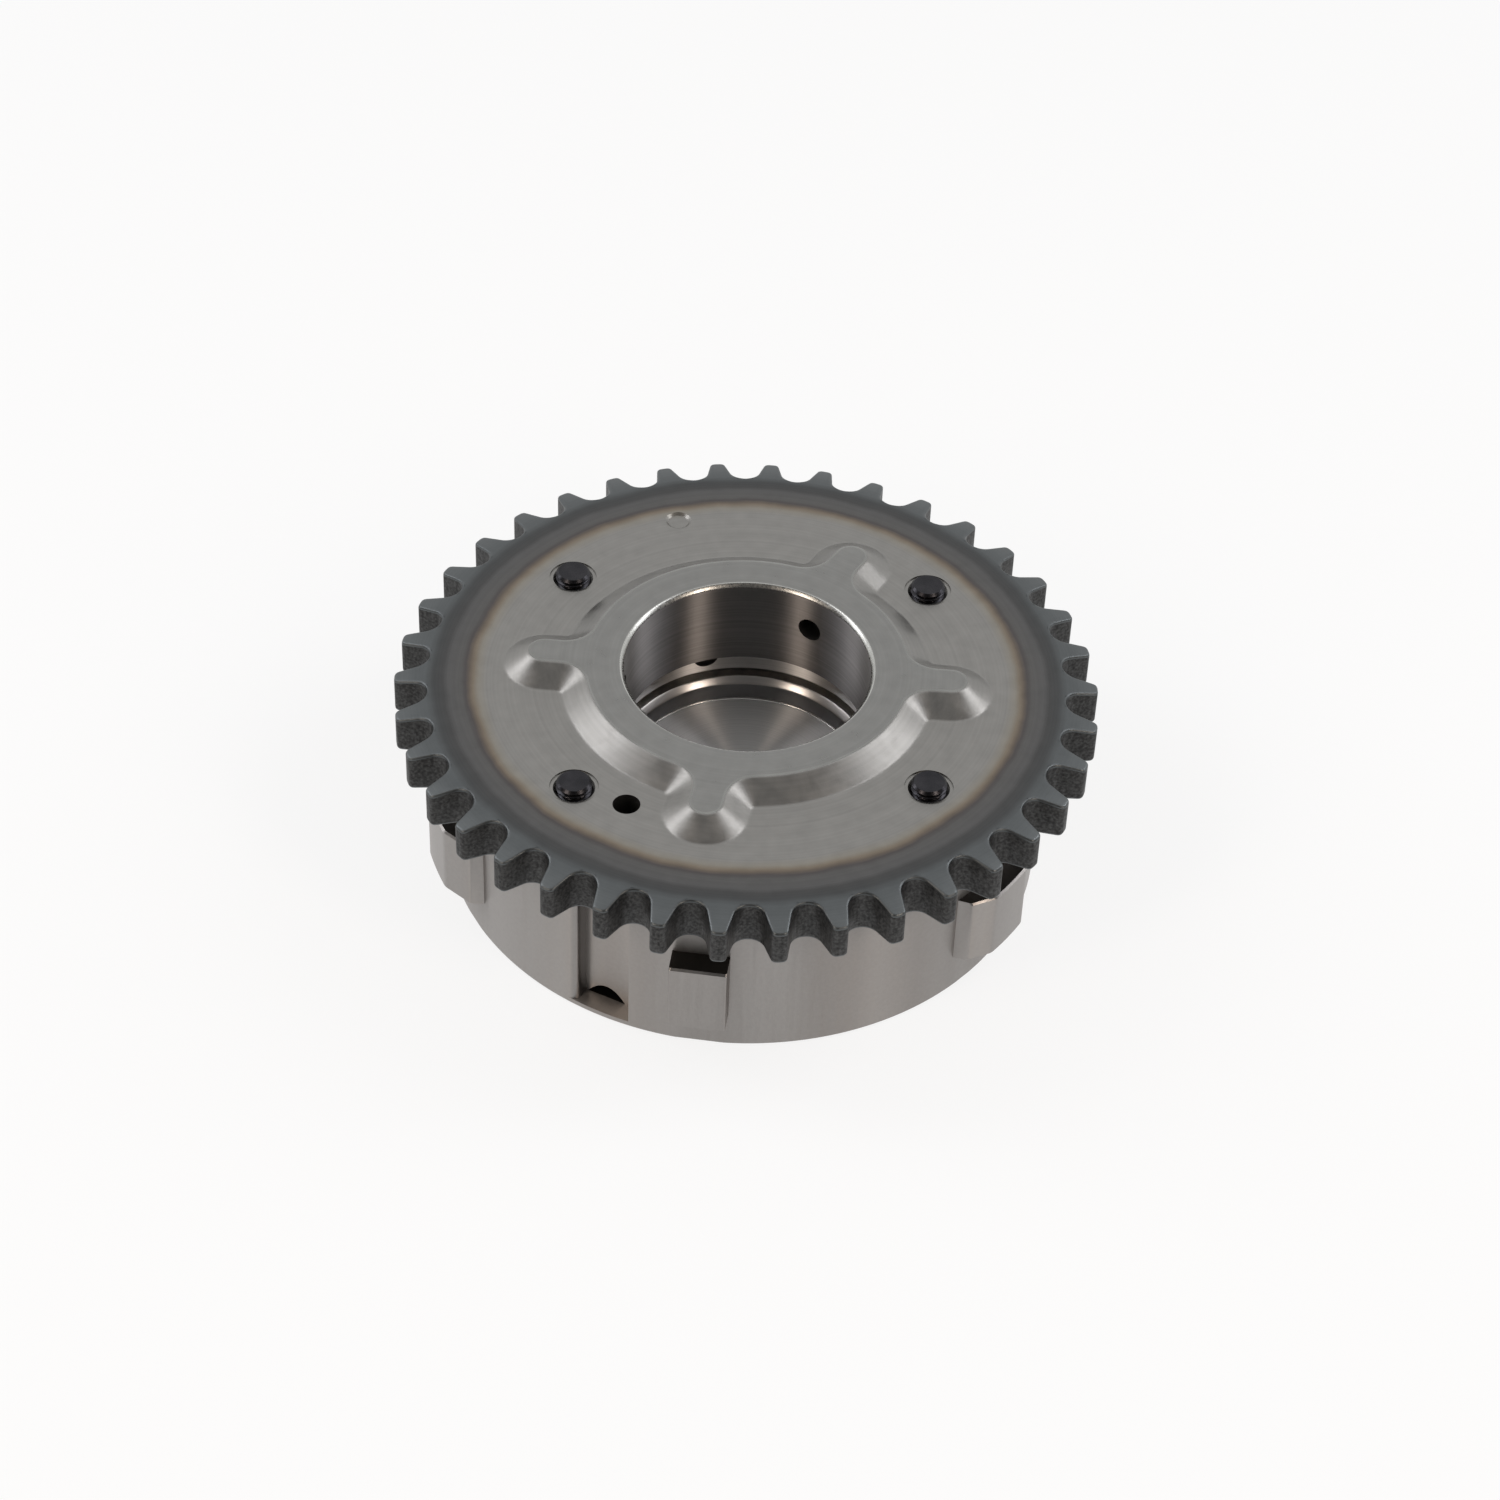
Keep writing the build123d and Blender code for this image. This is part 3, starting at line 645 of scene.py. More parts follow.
# %% Outline of one tooth
def rotated_pairs(pairs, angle):
    """Points with their facings, turned about the axis."""
    points, facings = zip(*pairs)
    return list(zip(rotated(points, angle), rotated(facings, angle)))


def mirrored_pairs(pairs):
    points, facings = zip(*pairs)
    return list(zip(mirrored(points), mirrored(facings)))


def tooth_outline():
    """Points of one tooth that points along +x, each with the direction that faces away from the steel."""
    seat_end = 270 - flank_angle
    seat_ways = [180 + (seat_end - 180) * step / seat_steps for step in range(seat_steps + 1)]
    half = [(Vector((seat_centre, 0)) + polar(seat_radius, way), -polar(1, way)) for way in seat_ways]
    start, flank_facing = half[-1]
    along = polar(1, -flank_angle)
    reach = sqrt(start.dot(along) ** 2 + tip_radius**2 - start.length_squared) - start.dot(along)
    tip = start + along * reach
    half += [(start + along * (reach - tip_corner) * share, flank_facing) for share in (1 / 3, 2 / 3)]
    tip_angle = degrees(atan2(tip.y, tip.x))
    round_end = tip_angle - degrees(tip_corner / tip_radius)
    rounded = corner(tip - along * tip_corner, tip, polar(tip_radius, round_end))
    for step, point in enumerate(rounded):
        facing = flank_facing.lerp(polar(1, round_end), step / (len(rounded) - 1)).normalized()
        half.append((point, facing))
    for share in (0.5, 1.0):
        way = round_end + (-half_pitch_angle - round_end) * share
        half.append((polar(tip_radius, way), polar(1, way)))
    half = rotated_pairs(half, half_pitch_angle)
    return half + mirrored_pairs(half[:-1])


print("Points round one tooth:", len(tooth_outline()))

# %% [markdown]
# The tooth's section runs from the flat of the plate over a bevel, round the edge, down the wall and back
# along the other face. The walls get a mark of their own, because they were left rough and almost black.

# %% Section of a tooth
plate_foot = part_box("housing")[1][2]
plate_top = plate_foot + 8.8 * mm
rear_bevel = 1.15 * mm
front_bevel = 0.3 * mm
tooth_edge = 0.45 * mm
underside_rise = 0.75 * mm
shelf_margin = 0.05 * mm
tooth_ring_radius = root_radius - 0.9 * mm


def beyond_root(point):
    return max(0.0, (point.length - root_radius) / (tip_radius - root_radius))


def tooth_column(point, facing):
    """The section of the tooth at one point of its outline, from the top face round to the lower face."""
    inner = point.normalized() * tooth_ring_radius
    edge = corner((tooth_edge, 0), (0, 0), (0, tooth_edge))
    top = [(point - facing * inset, plate_top - drop) for inset, drop in edge]
    low = [(point - facing * inset, plate_foot + drop) for inset, drop in reversed(edge)]
    shelf = point.normalized() * min(root_radius, (point - facing * tooth_edge).length - shelf_margin)
    top = [(place, height - rear_bevel * beyond_root(place)) for place, height in top]
    low = [(place, height + underside_rise + front_bevel * beyond_root(place)) for place, height in low]
    return [(inner, plate_top), (shelf, plate_top), *top, *low, (shelf, low[-1][1]), (inner, plate_foot)]


# %% One tooth as a mesh
columns = [tooth_column(point, facing) for point, facing in tooth_outline()]
rows = len(columns[0])
wall_row = rows // 2 - 1
starts = [column * rows + row for column in range(len(columns) - 1) for row in range(rows - 1)]
tooth_mesh = bpy.data.meshes.new("one_tooth")
tooth_mesh.from_pydata(
    [(*place, height) for column in columns for place, height in column],
    [],
    [(start, start + 1, start + rows + 1, start + rows) for start in starts],
)
wall_mark = tooth_mesh.attributes.new("wall", "BOOLEAN", "FACE")
for face, mark in enumerate(wall_mark.data):
    mark.value = face % (rows - 1) == wall_row
one_tooth = add_object("one_tooth", tooth_mesh)
print("One tooth has", len(tooth_mesh.polygons), "faces")

# %% [markdown]
# ## All the teeth, by Geometry Nodes
#
# Thirty-eight equal teeth are a rule, so a node tree makes them: one point for each tooth, a tooth on every
# point, each turned by one pitch more than the last. Neighbours share their edge points, so merging them by
# distance makes one closed ring. The tree's sizes are named inputs, and a modifier's input is set by its
# identifier.

# %% Making a node tree and turning its result into a plain mesh
node_merge_distance = 0.001 * mm


def new_tree(name, inputs):
    """A tree with named inputs. They come back as the outputs of its input node."""
    tree = bpy.data.node_groups.new(name, "GeometryNodeTree")
    for socket, kind in {"Geometry": "Geometry", **inputs}.items():
        tree.interface.new_socket(socket, in_out="INPUT", socket_type=f"NodeSocket{kind}")
    tree.interface.new_socket("Geometry", in_out="OUTPUT", socket_type="NodeSocketGeometry")
    return tree, tree.nodes.new("NodeGroupInput").outputs


def end_tree(tree, geometry, finish):
    """Makes instances real, gives the result its finish and hands it out."""
    real = feed(tree, "GeometryNodeRealizeInstances", {0: geometry})
    dressed = feed(tree, "GeometryNodeSetMaterial", {"Geometry": real, "Material": finish})
    add_node(tree, "NodeGroupOutput", {0: dressed})


def merged(tree, geometry):
    sockets = {"Geometry": geometry, "Distance": node_merge_distance}
    return feed(tree, "GeometryNodeMergeByDistance", sockets)


def plain_mesh(piece, name):
    bpy.context.view_layer.update()
    evaluated = piece.evaluated_get(bpy.context.evaluated_depsgraph_get())
    mesh = bpy.data.meshes.new_from_object(evaluated)
    mesh.name = name
    return mesh


def grow(piece, tree, values, name):
    """Runs a tree on an object, keeps the result as a mesh and removes the object."""
    modifier = piece.modifiers.new("grow", "NODES")
    modifier.node_group = tree
    items = [item for item in tree.interface.items_tree if item.in_out == "INPUT"]
    sockets = {item.name: item.identifier for item in items}
    for socket, value in values.items():
        modifier[sockets[socket]] = value
    mesh = plain_mesh(piece, name)
    bpy.data.objects.remove(piece)
    return mesh


# %% The tree that repeats a tooth
tree, given = new_tree(
    "repeat_teeth",
    {"Teeth": "Int", "First Angle": "Float", "Face Finish": "Material", "Wall Finish": "Material"},
)
points = feed(tree, "GeometryNodePoints", {"Count": given["Teeth"]})
share = maths(tree, "DIVIDE", feed(tree, "GeometryNodeInputIndex"), given["Teeth"])
angle = maths(tree, "MULTIPLY_ADD", share, 2 * pi, given["First Angle"])
euler = feed(tree, "ShaderNodeCombineXYZ", {"Z": angle})
rotation = feed(tree, "FunctionNodeEulerToRotation", {0: euler})
sockets = {"Points": points, "Instance": given["Geometry"], "Rotation": rotation}
placed = feed(tree, "GeometryNodeInstanceOnPoints", sockets)
joined = merged(tree, feed(tree, "GeometryNodeRealizeInstances", {0: placed}))
faces = feed(tree, "GeometryNodeSetMaterial", {"Geometry": joined, "Material": given["Face Finish"]})
marked = add_node(tree, "GeometryNodeInputNamedAttribute", {"Name": "wall"}, data_type="BOOLEAN")
sockets = {"Geometry": faces, "Selection": marked.outputs["Attribute"], "Material": given["Wall Finish"]}
add_node(tree, "NodeGroupOutput", {0: feed(tree, "GeometryNodeSetMaterial", sockets)})

# %% Growing the ring of teeth
teeth_values = {
    "Teeth": teeth,
    "First Angle": radians(first_gap_angle + half_pitch_angle),
    "Face Finish": finishes["wheel_steel"],
    "Wall Finish": finishes["tooth_wall"],
}
teeth_mesh = grow(one_tooth, tree, teeth_values, "ring_of_teeth")
print("Ring of teeth:", len(teeth_mesh.polygons), "faces,", len(teeth_mesh.vertices), "points")

# %% [markdown]
# ## The raised ring and its four arms
#
# In the middle of the plate a ring stands up, with four arms that hide the oil ways. Its sides slope all
# round, so that the press could let go of it. The foot's outline is walked once: ring, fillet, side of an
# arm, its round end, and back. Every point again carries its facing, so the slope is the same outline drawn
# further in and higher up.

# %% Outline of the raised ring's foot
ring_foot_radius = 32.0 * mm
arm_half_width = 7.2 * mm
arm_reach = 34.6 * mm
arm_fillet = 1.0 * mm
arm_fillet_steps = 8
arm_end_step = 6
widest_ring_step = 2
arm_angles = (59.8, 177.0, 260.2, 356.8)


def arm_side():
    """Half an arm that points along +x, from the middle of its end back to the ring."""
    end_middle = Vector((arm_reach, 0))
    half = [(end_middle + polar(arm_half_width, way), polar(1, way)) for way in range(0, 91, arm_end_step)]
    middle_y = arm_half_width + arm_fillet
    middle = Vector((sqrt((ring_foot_radius + arm_fillet) ** 2 - middle_y**2), middle_y))
    ring_way = degrees(atan2(middle.y, middle.x))
    for step in range(arm_fillet_steps + 1):
        facing = polar(1, 90 + (ring_way - 90) * step / arm_fillet_steps)
        half.append((middle - facing * arm_fillet, facing))
    return half, ring_way


def raised_outline():
    half, ring_way = arm_side()
    arm = mirrored_pairs(half[1:]) + half
    outline = []
    for arm_angle, next_angle in zip(arm_angles, arm_angles[1:] + arm_angles[:1]):
        outline += rotated_pairs(arm, arm_angle)
        ways = ways_between(arm_angle + ring_way, next_angle - ring_way, widest_ring_step)
        outline += [(polar(ring_foot_radius, way), polar(1, way)) for way in ways]
    return outline


print("Points round the raised ring:", len(raised_outline()))

# %% [markdown]
# ## The chain wheel's body
#
# The ring of teeth is open on its inside, at the top and below. The body closes it: the flat plate, the
# slope, the flat top with its bright rounded edge, the bore with a sharp ledge at its foot, and the boss
# that reaches down into the rotor.

# %% Sizes of the wheel's body
ring_height = 3.0 * mm
slope_run = 4.4 * mm
slope_edge = 0.4 * mm
edge_strips = 2
foot_blend = 0.45 * mm
bore_radius = 21.0 * mm
rim_chamfer = 0.6 * mm
rim_edge = 0.12 * mm
gallery_radius = 22.8 * mm
gallery_top = 22.4 * mm
boss_radius = 25.0 * mm
wheel_low, wheel_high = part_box("sprocket")
boss_end = wheel_low[2]
ring_top = wheel_high[2]

# %% The teeth's mesh, with the wheel's finishes
wheel_names = ["wheel_steel", "tooth_wall", "bore_steel", "bright_edge", "rim_steel", "recess_steel"]
wheel_finishes = [finishes[name] for name in wheel_names]
wheel = bmesh.new()
wheel.from_mesh(teeth_mesh)
slot_of = [wheel_finishes.index(material) if material else 0 for material in teeth_mesh.materials]
for face in wheel.faces:
    face.material_index = slot_of[face.material_index]

# %% Slope of the raised ring
slope = Vector((slope_run, ring_height))
slope_way = slope.normalized()
slope_profile = [
    *corner((-foot_blend, 0), (0, 0), slope_way * foot_blend),
    *corner(slope - slope_way * slope_edge, slope, slope + Vector((slope_edge, 0))),
]
raised = raised_outline()
slope_rings = [
    ring(wheel, [point - facing * inset for point, facing in raised], plate_top + height)
    for inset, height in slope_profile
]
edge_start = len(slope_rings) - 1 - edge_strips
for number, (first, second) in enumerate(zip(slope_rings, slope_rings[1:])):
    strip(wheel, first, second, wheel_names.index("bright_edge") if number >= edge_start else 0)

# %% Bore, recess and boss
rim_profile = [
    *corner(
        (bore_radius + rim_chamfer + rim_edge, ring_top),
        (bore_radius + rim_chamfer, ring_top),
        (bore_radius + rim_chamfer - rim_edge, ring_top - rim_edge),
        steps=2,
    ),
    (bore_radius + rim_edge / 2, ring_top - rim_chamfer + rim_edge / 2),
    (bore_radius, ring_top - rim_chamfer - rim_edge / 2),
]
bore_profile = [rim_profile[-1], (bore_radius, gallery_top)]
recess_profile = [bore_profile[-1], (gallery_radius, gallery_top), (gallery_radius, boss_end)]
boss_profile = [recess_profile[-1], (boss_radius, boss_end), (boss_radius, plate_foot)]
for profile, name in (
    (rim_profile, "rim_steel"),
    (bore_profile, "bore_steel"),
    (recess_profile, "recess_steel"),
    (boss_profile, "recess_steel"),
):
    turn(wheel, profile, slot=wheel_names.index(name))
for level in (plate_top, ring_top, plate_foot):
    close_level(wheel, level)
chain_wheel = finish_shape(wheel, "chain_wheel", *wheel_finishes)
report(chain_wheel)

# %% [markdown]
# ## Holes in the wheel
#
# Holes are drilled last, as in the workshop. A cutter is a small turned shape that pokes out of the surface,
# and a Boolean takes it away. Cutters that don't touch each other go into one mesh.

# %% Cutting with a Boolean
over = 1.0 * mm
drill_sides = 48


def cut(piece, cutter, sharp_angle=usual_sharp_angle):
    modifier = piece.modifiers.new("cut", "BOOLEAN")
    modifier.operation = "DIFFERENCE"
    modifier.solver = "EXACT"
    modifier.object = cutter
    mesh = plain_mesh(piece, piece.data.name)
    piece.modifiers.clear()
    piece.data = mesh
    bpy.data.objects.remove(cutter)
    mesh.set_sharp_from_angle(angle=radians(sharp_angle))


def drill(shape, radius, length, place, way):
    """A round cutter that starts at a point and runs outward and level, at an angle about the axis."""
    start = len(shape.verts)
    straight_hole(shape, (0, 0), radius, 0, length, drill_sides)
    shape.verts.ensure_lookup_table()
    aim = Matrix.Rotation(radians(way), 4, "Z") @ Matrix.Rotation(pi / 2, 4, "Y")
    bmesh.ops.transform(shape, matrix=Matrix.Translation(place) @ aim, verts=shape.verts[start:])


# %% Screw holes, timing hole and punched mark
bolt_angles = (38.9, 141.5, 225.8, 320.6)
bolt_circle = 39.8 * mm
thread_hole_radius = 3.02 * mm
countersink_radius = 3.5 * mm
spot_face_radius = 4.1 * mm
spot_face_depth = 0.25 * mm
timing_spot = polar(37.4 * mm, 239.6)
timing_radius = 2.3 * mm
punch_spot = polar(43.6 * mm, 107.9)
punch_radius = 2.3 * mm
punch_floor_radius = 1.75 * mm
punch_depth = 0.4 * mm

upright = bmesh.new()
spot_face = plate_top - spot_face_depth
screw_hole = [
    (thread_hole_radius, plate_foot - over),
    (thread_hole_radius, spot_face - (countersink_radius - thread_hole_radius)),
    (countersink_radius, spot_face),
    (spot_face_radius, spot_face),
    (spot_face_radius, plate_top + over),
]
screw_spots = [polar(bolt_circle, bolt_angle) for bolt_angle in bolt_angles]
for spot in screw_spots:
    hole(upright, spot, *screw_hole)
straight_hole(upright, timing_spot, timing_radius, plate_foot - over, plate_top + over)
punch_rim = (2 * punch_radius - punch_floor_radius, plate_top + punch_depth)
hole(upright, punch_spot, (punch_floor_radius, plate_top - punch_depth), punch_rim)

# %% Oil ways: down through every arm, out along it, and a low port through the boss
arm_oil_radius = 2.2 * mm
arm_oil_height = 31.76 * mm
port_radius = 2.3 * mm
port_height = 21.6 * mm
port_angle = 109.0

for arm_angle in arm_angles:
    spot = polar(arm_reach, arm_angle)
    straight_hole(upright, spot, arm_oil_radius, plate_foot - over, arm_oil_height, drill_sides)
cut(chain_wheel, finish_shape(upright, "upright_cutters", *wheel_finishes))

level = bmesh.new()
for arm_angle in arm_angles:
    start = (*polar(bore_radius - over, arm_angle), arm_oil_height)
    drill(level, arm_oil_radius, arm_reach + arm_oil_radius + over - bore_radius, start, arm_angle)
start = (*polar(gallery_radius - over, port_angle), port_height)
drill(level, port_radius, boss_radius + 2 * over - gallery_radius, start, port_angle)
cut(chain_wheel, finish_shape(level, "level_cutters", *wheel_finishes))
report(chain_wheel)

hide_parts("sprocket")
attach(chain_wheel, "drive")

# %% [markdown]
# ## The fixing screws
#
# Four M6 screws hold wheel and housing together. Their heads are sunk in the front, and their threaded ends
# stand out of the plate. A thread is a rule: its depth depends only on how far a point is along the screw
# and round it. A node tree rolls a flat grid round the axis by that rule, and a second tree sets the screw
# on its four spots.

# %% The tree that makes a thread: the flat grid and its depth
thread_sides = 48
lead_share = 0.2
lengths = ("Radius", "Depth", "Pitch", "Foot", "Length", "Chamfer", "Crest Share", "Root Share")

tree, given = new_tree(
    "screw_thread", {**{name: "Float" for name in lengths}, "Rows": "Int", "Finish": "Material"}
)
counts = {"Vertices X": thread_sides + 1, "Vertices Y": given["Rows"]}
grid = feed(tree, "GeometryNodeMeshGrid", {"Size X": 2 * pi, "Size Y": 1.0, **counts})
flat = add_node(tree, "ShaderNodeSeparateXYZ", {0: feed(tree, "GeometryNodeInputPosition")}).outputs
along = maths(tree, "MULTIPLY", maths(tree, "ADD", flat["Y"], 0.5), given["Length"])
turns_along = maths(tree, "DIVIDE", along, given["Pitch"])
turns = maths(tree, "SUBTRACT", turns_along, maths(tree, "DIVIDE", flat["X"], 2 * pi))
to_root = maths(tree, "MULTIPLY", maths(tree, "PINGPONG", turns, 0.5), 2.0)
flank_end = maths(tree, "SUBTRACT", 1.0, given["Root Share"])
flank = rescale(tree, to_root, given["Crest Share"], flank_end)
depth = maths(tree, "MULTIPLY", flank, given["Depth"])

# %% The tree that makes a thread: its two ends, and the grid rolled up
to_end = maths(tree, "SUBTRACT", given["Length"], along)
end_cut = maths(tree, "MAXIMUM", maths(tree, "SUBTRACT", given["Chamfer"], to_end), 0.0)
run_out = maths(tree, "MINIMUM", turns_along, 1.0)
past_chamfer = maths(tree, "SUBTRACT", to_end, given["Chamfer"])
lead = maths(tree, "DIVIDE", past_chamfer, maths(tree, "MULTIPLY", given["Pitch"], lead_share))
lead = maths(tree, "MINIMUM", maths(tree, "MAXIMUM", lead, 0.0), 1.0)
depth = maths(tree, "MULTIPLY", maths(tree, "MULTIPLY", depth, run_out), lead)
depth = maths(tree, "MAXIMUM", depth, end_cut)
radius = maths(tree, "SUBTRACT", given["Radius"], depth)
rolled = {
    "X": maths(tree, "MULTIPLY", radius, maths(tree, "COSINE", flat["X"])),
    "Y": maths(tree, "MULTIPLY", radius, maths(tree, "SINE", flat["X"])),
    "Z": maths(tree, "ADD", along, given["Foot"]),
}
sockets = {"Geometry": grid, "Position": feed(tree, "ShaderNodeCombineXYZ", rolled)}
end_tree(tree, merged(tree, feed(tree, "GeometryNodeSetPosition", sockets)), given["Finish"])

# %% The thread of one screw
bolt_radius = 3.0 * mm
thread_pitch = 1.0 * mm
thread_length = 13.0 * mm
rows_per_turn = 14
bolt_low, bolt_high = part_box("fixing_screws")
head_foot, bolt_end = bolt_low[2], bolt_high[2]

thread_values = {
    "Radius": bolt_radius,
    "Depth": 0.55 * mm,
    "Pitch": thread_pitch,
    "Foot": bolt_end - thread_length,
    "Length": thread_length,
    "Chamfer": 0.45 * mm,
    "Crest Share": 1 / 8,
    "Root Share": 1 / 4,
    "Rows": round(thread_length / thread_pitch) * rows_per_turn + 1,
    "Finish": finishes["black_steel"],
}
thread = grow(add_object("thread", bpy.data.meshes.new("thread")), tree, thread_values, "thread")
print("Thread:", len(thread.polygons), "faces")

# %% One screw: thread, plain shank, head and its hexagon socket
head_radius = 5.0 * mm
head_height = 6.0 * mm
head_edge = 0.4 * mm
head_rim = 0.2 * mm
socket_width = 5.0 * mm
socket_depth = 3.0 * mm
head_top = head_foot + head_height

screw = bmesh.new()
screw.from_mesh(thread)
head_corner = (head_radius, head_foot)
head_profile = [
    (bolt_radius, bolt_end - thread_length),
    (bolt_radius, head_top),
    (head_radius - head_rim, head_top),
    (head_radius, head_top - head_rim),
    *corner((head_radius, head_foot + head_edge), head_corner, (head_radius - head_edge, head_foot)),
]
turn(screw, head_profile, thread_sides)
hexagon = circle(socket_width / 2 / cos(pi / 6), 6)
strip(screw, ring(screw, hexagon, head_foot), ring(screw, hexagon, head_foot + socket_depth))
bmesh.ops.remove_doubles(screw, verts=screw.verts, dist=node_merge_distance)
for level in (bolt_end, head_foot, head_foot + socket_depth):
    close_level(screw, level)
one_screw = finish_shape(screw, "one_screw")
report(one_screw)

# %% [markdown]
# The second tree takes four bare points, one for each screw, and puts the screw there. Its object goes in
# through a named input, as the finish does.

# %% Four screws, by the tree that sets a piece on its spots
tree, given = new_tree("set_on_spots", {"Piece": "Object", "Finish": "Material"})
piece_info = add_node(tree, "GeometryNodeObjectInfo", {"Object": given["Piece"]})
sockets = {"Points": given["Geometry"], "Instance": piece_info.outputs["Geometry"]}
end_tree(tree, feed(tree, "GeometryNodeInstanceOnPoints", sockets), given["Finish"])

spots_mesh = bpy.data.meshes.new("spots")
spots_mesh.from_pydata([(*spot, 0) for spot in screw_spots], [], [])
screw_values = {"Piece": one_screw, "Finish": finishes["black_steel"]}
screws_mesh = grow(add_object("spots", spots_mesh), tree, screw_values, "screws")
bpy.data.objects.remove(one_screw)
screws = add_object("screws", screws_mesh)
report(screws)

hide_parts("fixing_screws")
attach(screws, "drive")

# %% [markdown]
# ## The housing's outside
#
# The housing is a cup. Its outside is one plan outline that changes with height: a plain circle at the foot,
# then a circle with an upright groove, then the same with a pad and four balance lobes, and the groove alone
# again up to the plate. Each level is drawn with the same number of points, so neighbouring levels join
# point to point, and the ledges between them come by themselves.

# %% Sizes of the housing
housing_radius = 51.5 * mm
housing_top = plate_foot
block_foot = 7.5 * mm
block_top = 21.0 * mm
block_edge = 0.35 * mm
groove_right_angle = -109.9
groove_width = 9.8 * mm
groove_floor_radius = 48.0 * mm
groove_left_round = 1.8 * mm
groove_foot = 1.4 * mm
groove_steps = 8
pad_angle = -96.3
pad_width = 9.6 * mm
pad_radius = 55.6 * mm
lobe_crest_half_angle = 4.7
lobe_crest_steps = 4
lobe_foot_extra_angle = 1.4
lobe_sink = 0.6 * mm
lobe_flat_share = 0.85
lobe_bend_share = 0.08
widest_wall_step = 1.5
# A pair of lobes: its angle to either side, the radii of crest and ridge, the ridge's half angle
lobe_pairs = (
    (34.7, 55.6 * mm, 53.75 * mm, 9.1),
    (158.3, 55.8 * mm, 53.6 * mm, 10.5),
)
lobes = [(sign * angle, *sizes) for angle, *sizes in lobe_pairs for sign in (-1, 1)]

# %% [markdown]
# A level is a list of corners between plain stretches of the wall. Each feature gives its own points and,
# beside each, the point of the wall where that point lands when the feature ends.


# %% Points of each feature
def lobe_points(angle, crest, ridge, ridge_half_angle):
    foot = polar(housing_radius - lobe_sink, angle - ridge_half_angle - lobe_foot_extra_angle)
    ridge_side = polar(ridge, angle - ridge_half_angle)
    start = ridge_side.lerp(foot, (ridge - housing_radius) / (ridge - housing_radius + lobe_sink))
    crest_side = polar(crest, angle - lobe_crest_half_angle)
    flat_half_angle = lobe_flat_share * lobe_crest_half_angle
    crest_way = polar(crest, angle - flat_half_angle)
    to_crest = ridge_side.lerp(crest_side, lobe_bend_share)
    half = [start]
    half += corner(start.lerp(ridge_side, lobe_flat_share), ridge_side, to_crest, steps=3)
    half += corner(crest_side.lerp(ridge_side, lobe_bend_share), crest_side, crest_way, steps=3)
    steps = range(1 - lobe_crest_steps, lobe_crest_steps)
    crest_points = [polar(crest, angle + flat_half_angle * step / lobe_crest_steps) for step in steps]
    return half + crest_points + mirrored(half, angle)


def pad_points():
    half_width = pad_width / 2
    tip = Vector((pad_radius, -half_width))
    half = [chord_end(housing_radius, half_width)]
    half += corner(tip - Vector((block_edge, 0)), tip, tip + Vector((0, block_edge)), steps=3)
    return rotated(half + mirrored(half), pad_angle)


def groove_points():
    half_width = groove_width / 2
    middle_angle = groove_right_angle - degrees(asin(half_width / housing_radius))
    left_rim = chord_end(housing_radius, half_width)
    rim_start = Matrix.Rotation(-groove_left_round / housing_radius, 2) @ left_rim
    left = corner(rim_start, left_rim, left_rim - Vector((groove_left_round, 0)), steps=8)
    across = [groove_width * step / groove_steps - half_width for step in range(groove_steps + 1)]
    bed = [Vector((groove_floor_radius, place)) for place in across]
    return rotated([*left, *bed, Vector((left_rim.x, half_width))], middle_angle)


def way_of(point):
    return degrees(atan2(point.y, point.x)) % 360


def landing(points):
    """For each point of a feature, the point of the plain wall that it runs to where the feature ends."""
    first, last = way_of(points[0]), way_of(points[-1])
    furthest = first
    places = []
    for point in points:
        furthest = min(last, max(furthest, way_of(point)))
        places.append(polar(housing_radius, furthest))
    return places


# %% [markdown]
# Now the three outlines can be written down together, column by column: the plain circle, the circle with
# the groove, and the one with the blocks as well.

# %% Outlines of the housing
features = [(groove_points(), True), (pad_points(), False)]
features += [(lobe_points(*lobe), False) for lobe in lobes]
features.sort(key=lambda feature: way_of(feature[0][0]))
plain, grooved, blocked = [], [], []
for (points, is_groove), (next_points, _) in zip(features, features[1:] + features[:1]):
    wall_points = landing(points)
    plain += wall_points
    grooved += points if is_groove else wall_points
    blocked += points
    ways = ways_between(way_of(points[-1]), way_of(next_points[0]), widest_wall_step, least=2)
    for outline in (plain, grooved, blocked):
        outline += [polar(housing_radius, way) for way in ways]
print("Points round the housing:", len(plain))


def drawn_in(points, targets, distance):
    """An outline moved a little towards another, which rounds the edge between them."""
    moved = []
    for point, target in zip(points, targets):
        gap = target - point
        moved.append(point + gap.normalized() * min(distance, gap.length) if gap.length else point)
    return moved


def scaled(points, inset):
    return [point * (1 - inset / housing_radius) for point in points]


# %% [markdown]
# ## The housing's inside
#
# Seen from above, the room is four chambers between four shoes. Each shoe reaches in to the rotor's hub and
# has a slot for a seal in its tip.

# %% Outline of the room
chamber_radius = 46.0 * mm
shoe_tip_radius = 30.1 * mm
shoe_corner_round = 1.0 * mm
shoe_spans = ((30.4, 50.0), (133.0, 167.0), (217.3, 250.5), (312.1, 347.0))
seal_slot_width = 2.0 * mm
seal_slot_depth = 2.5 * mm
widest_chamber_step = 2


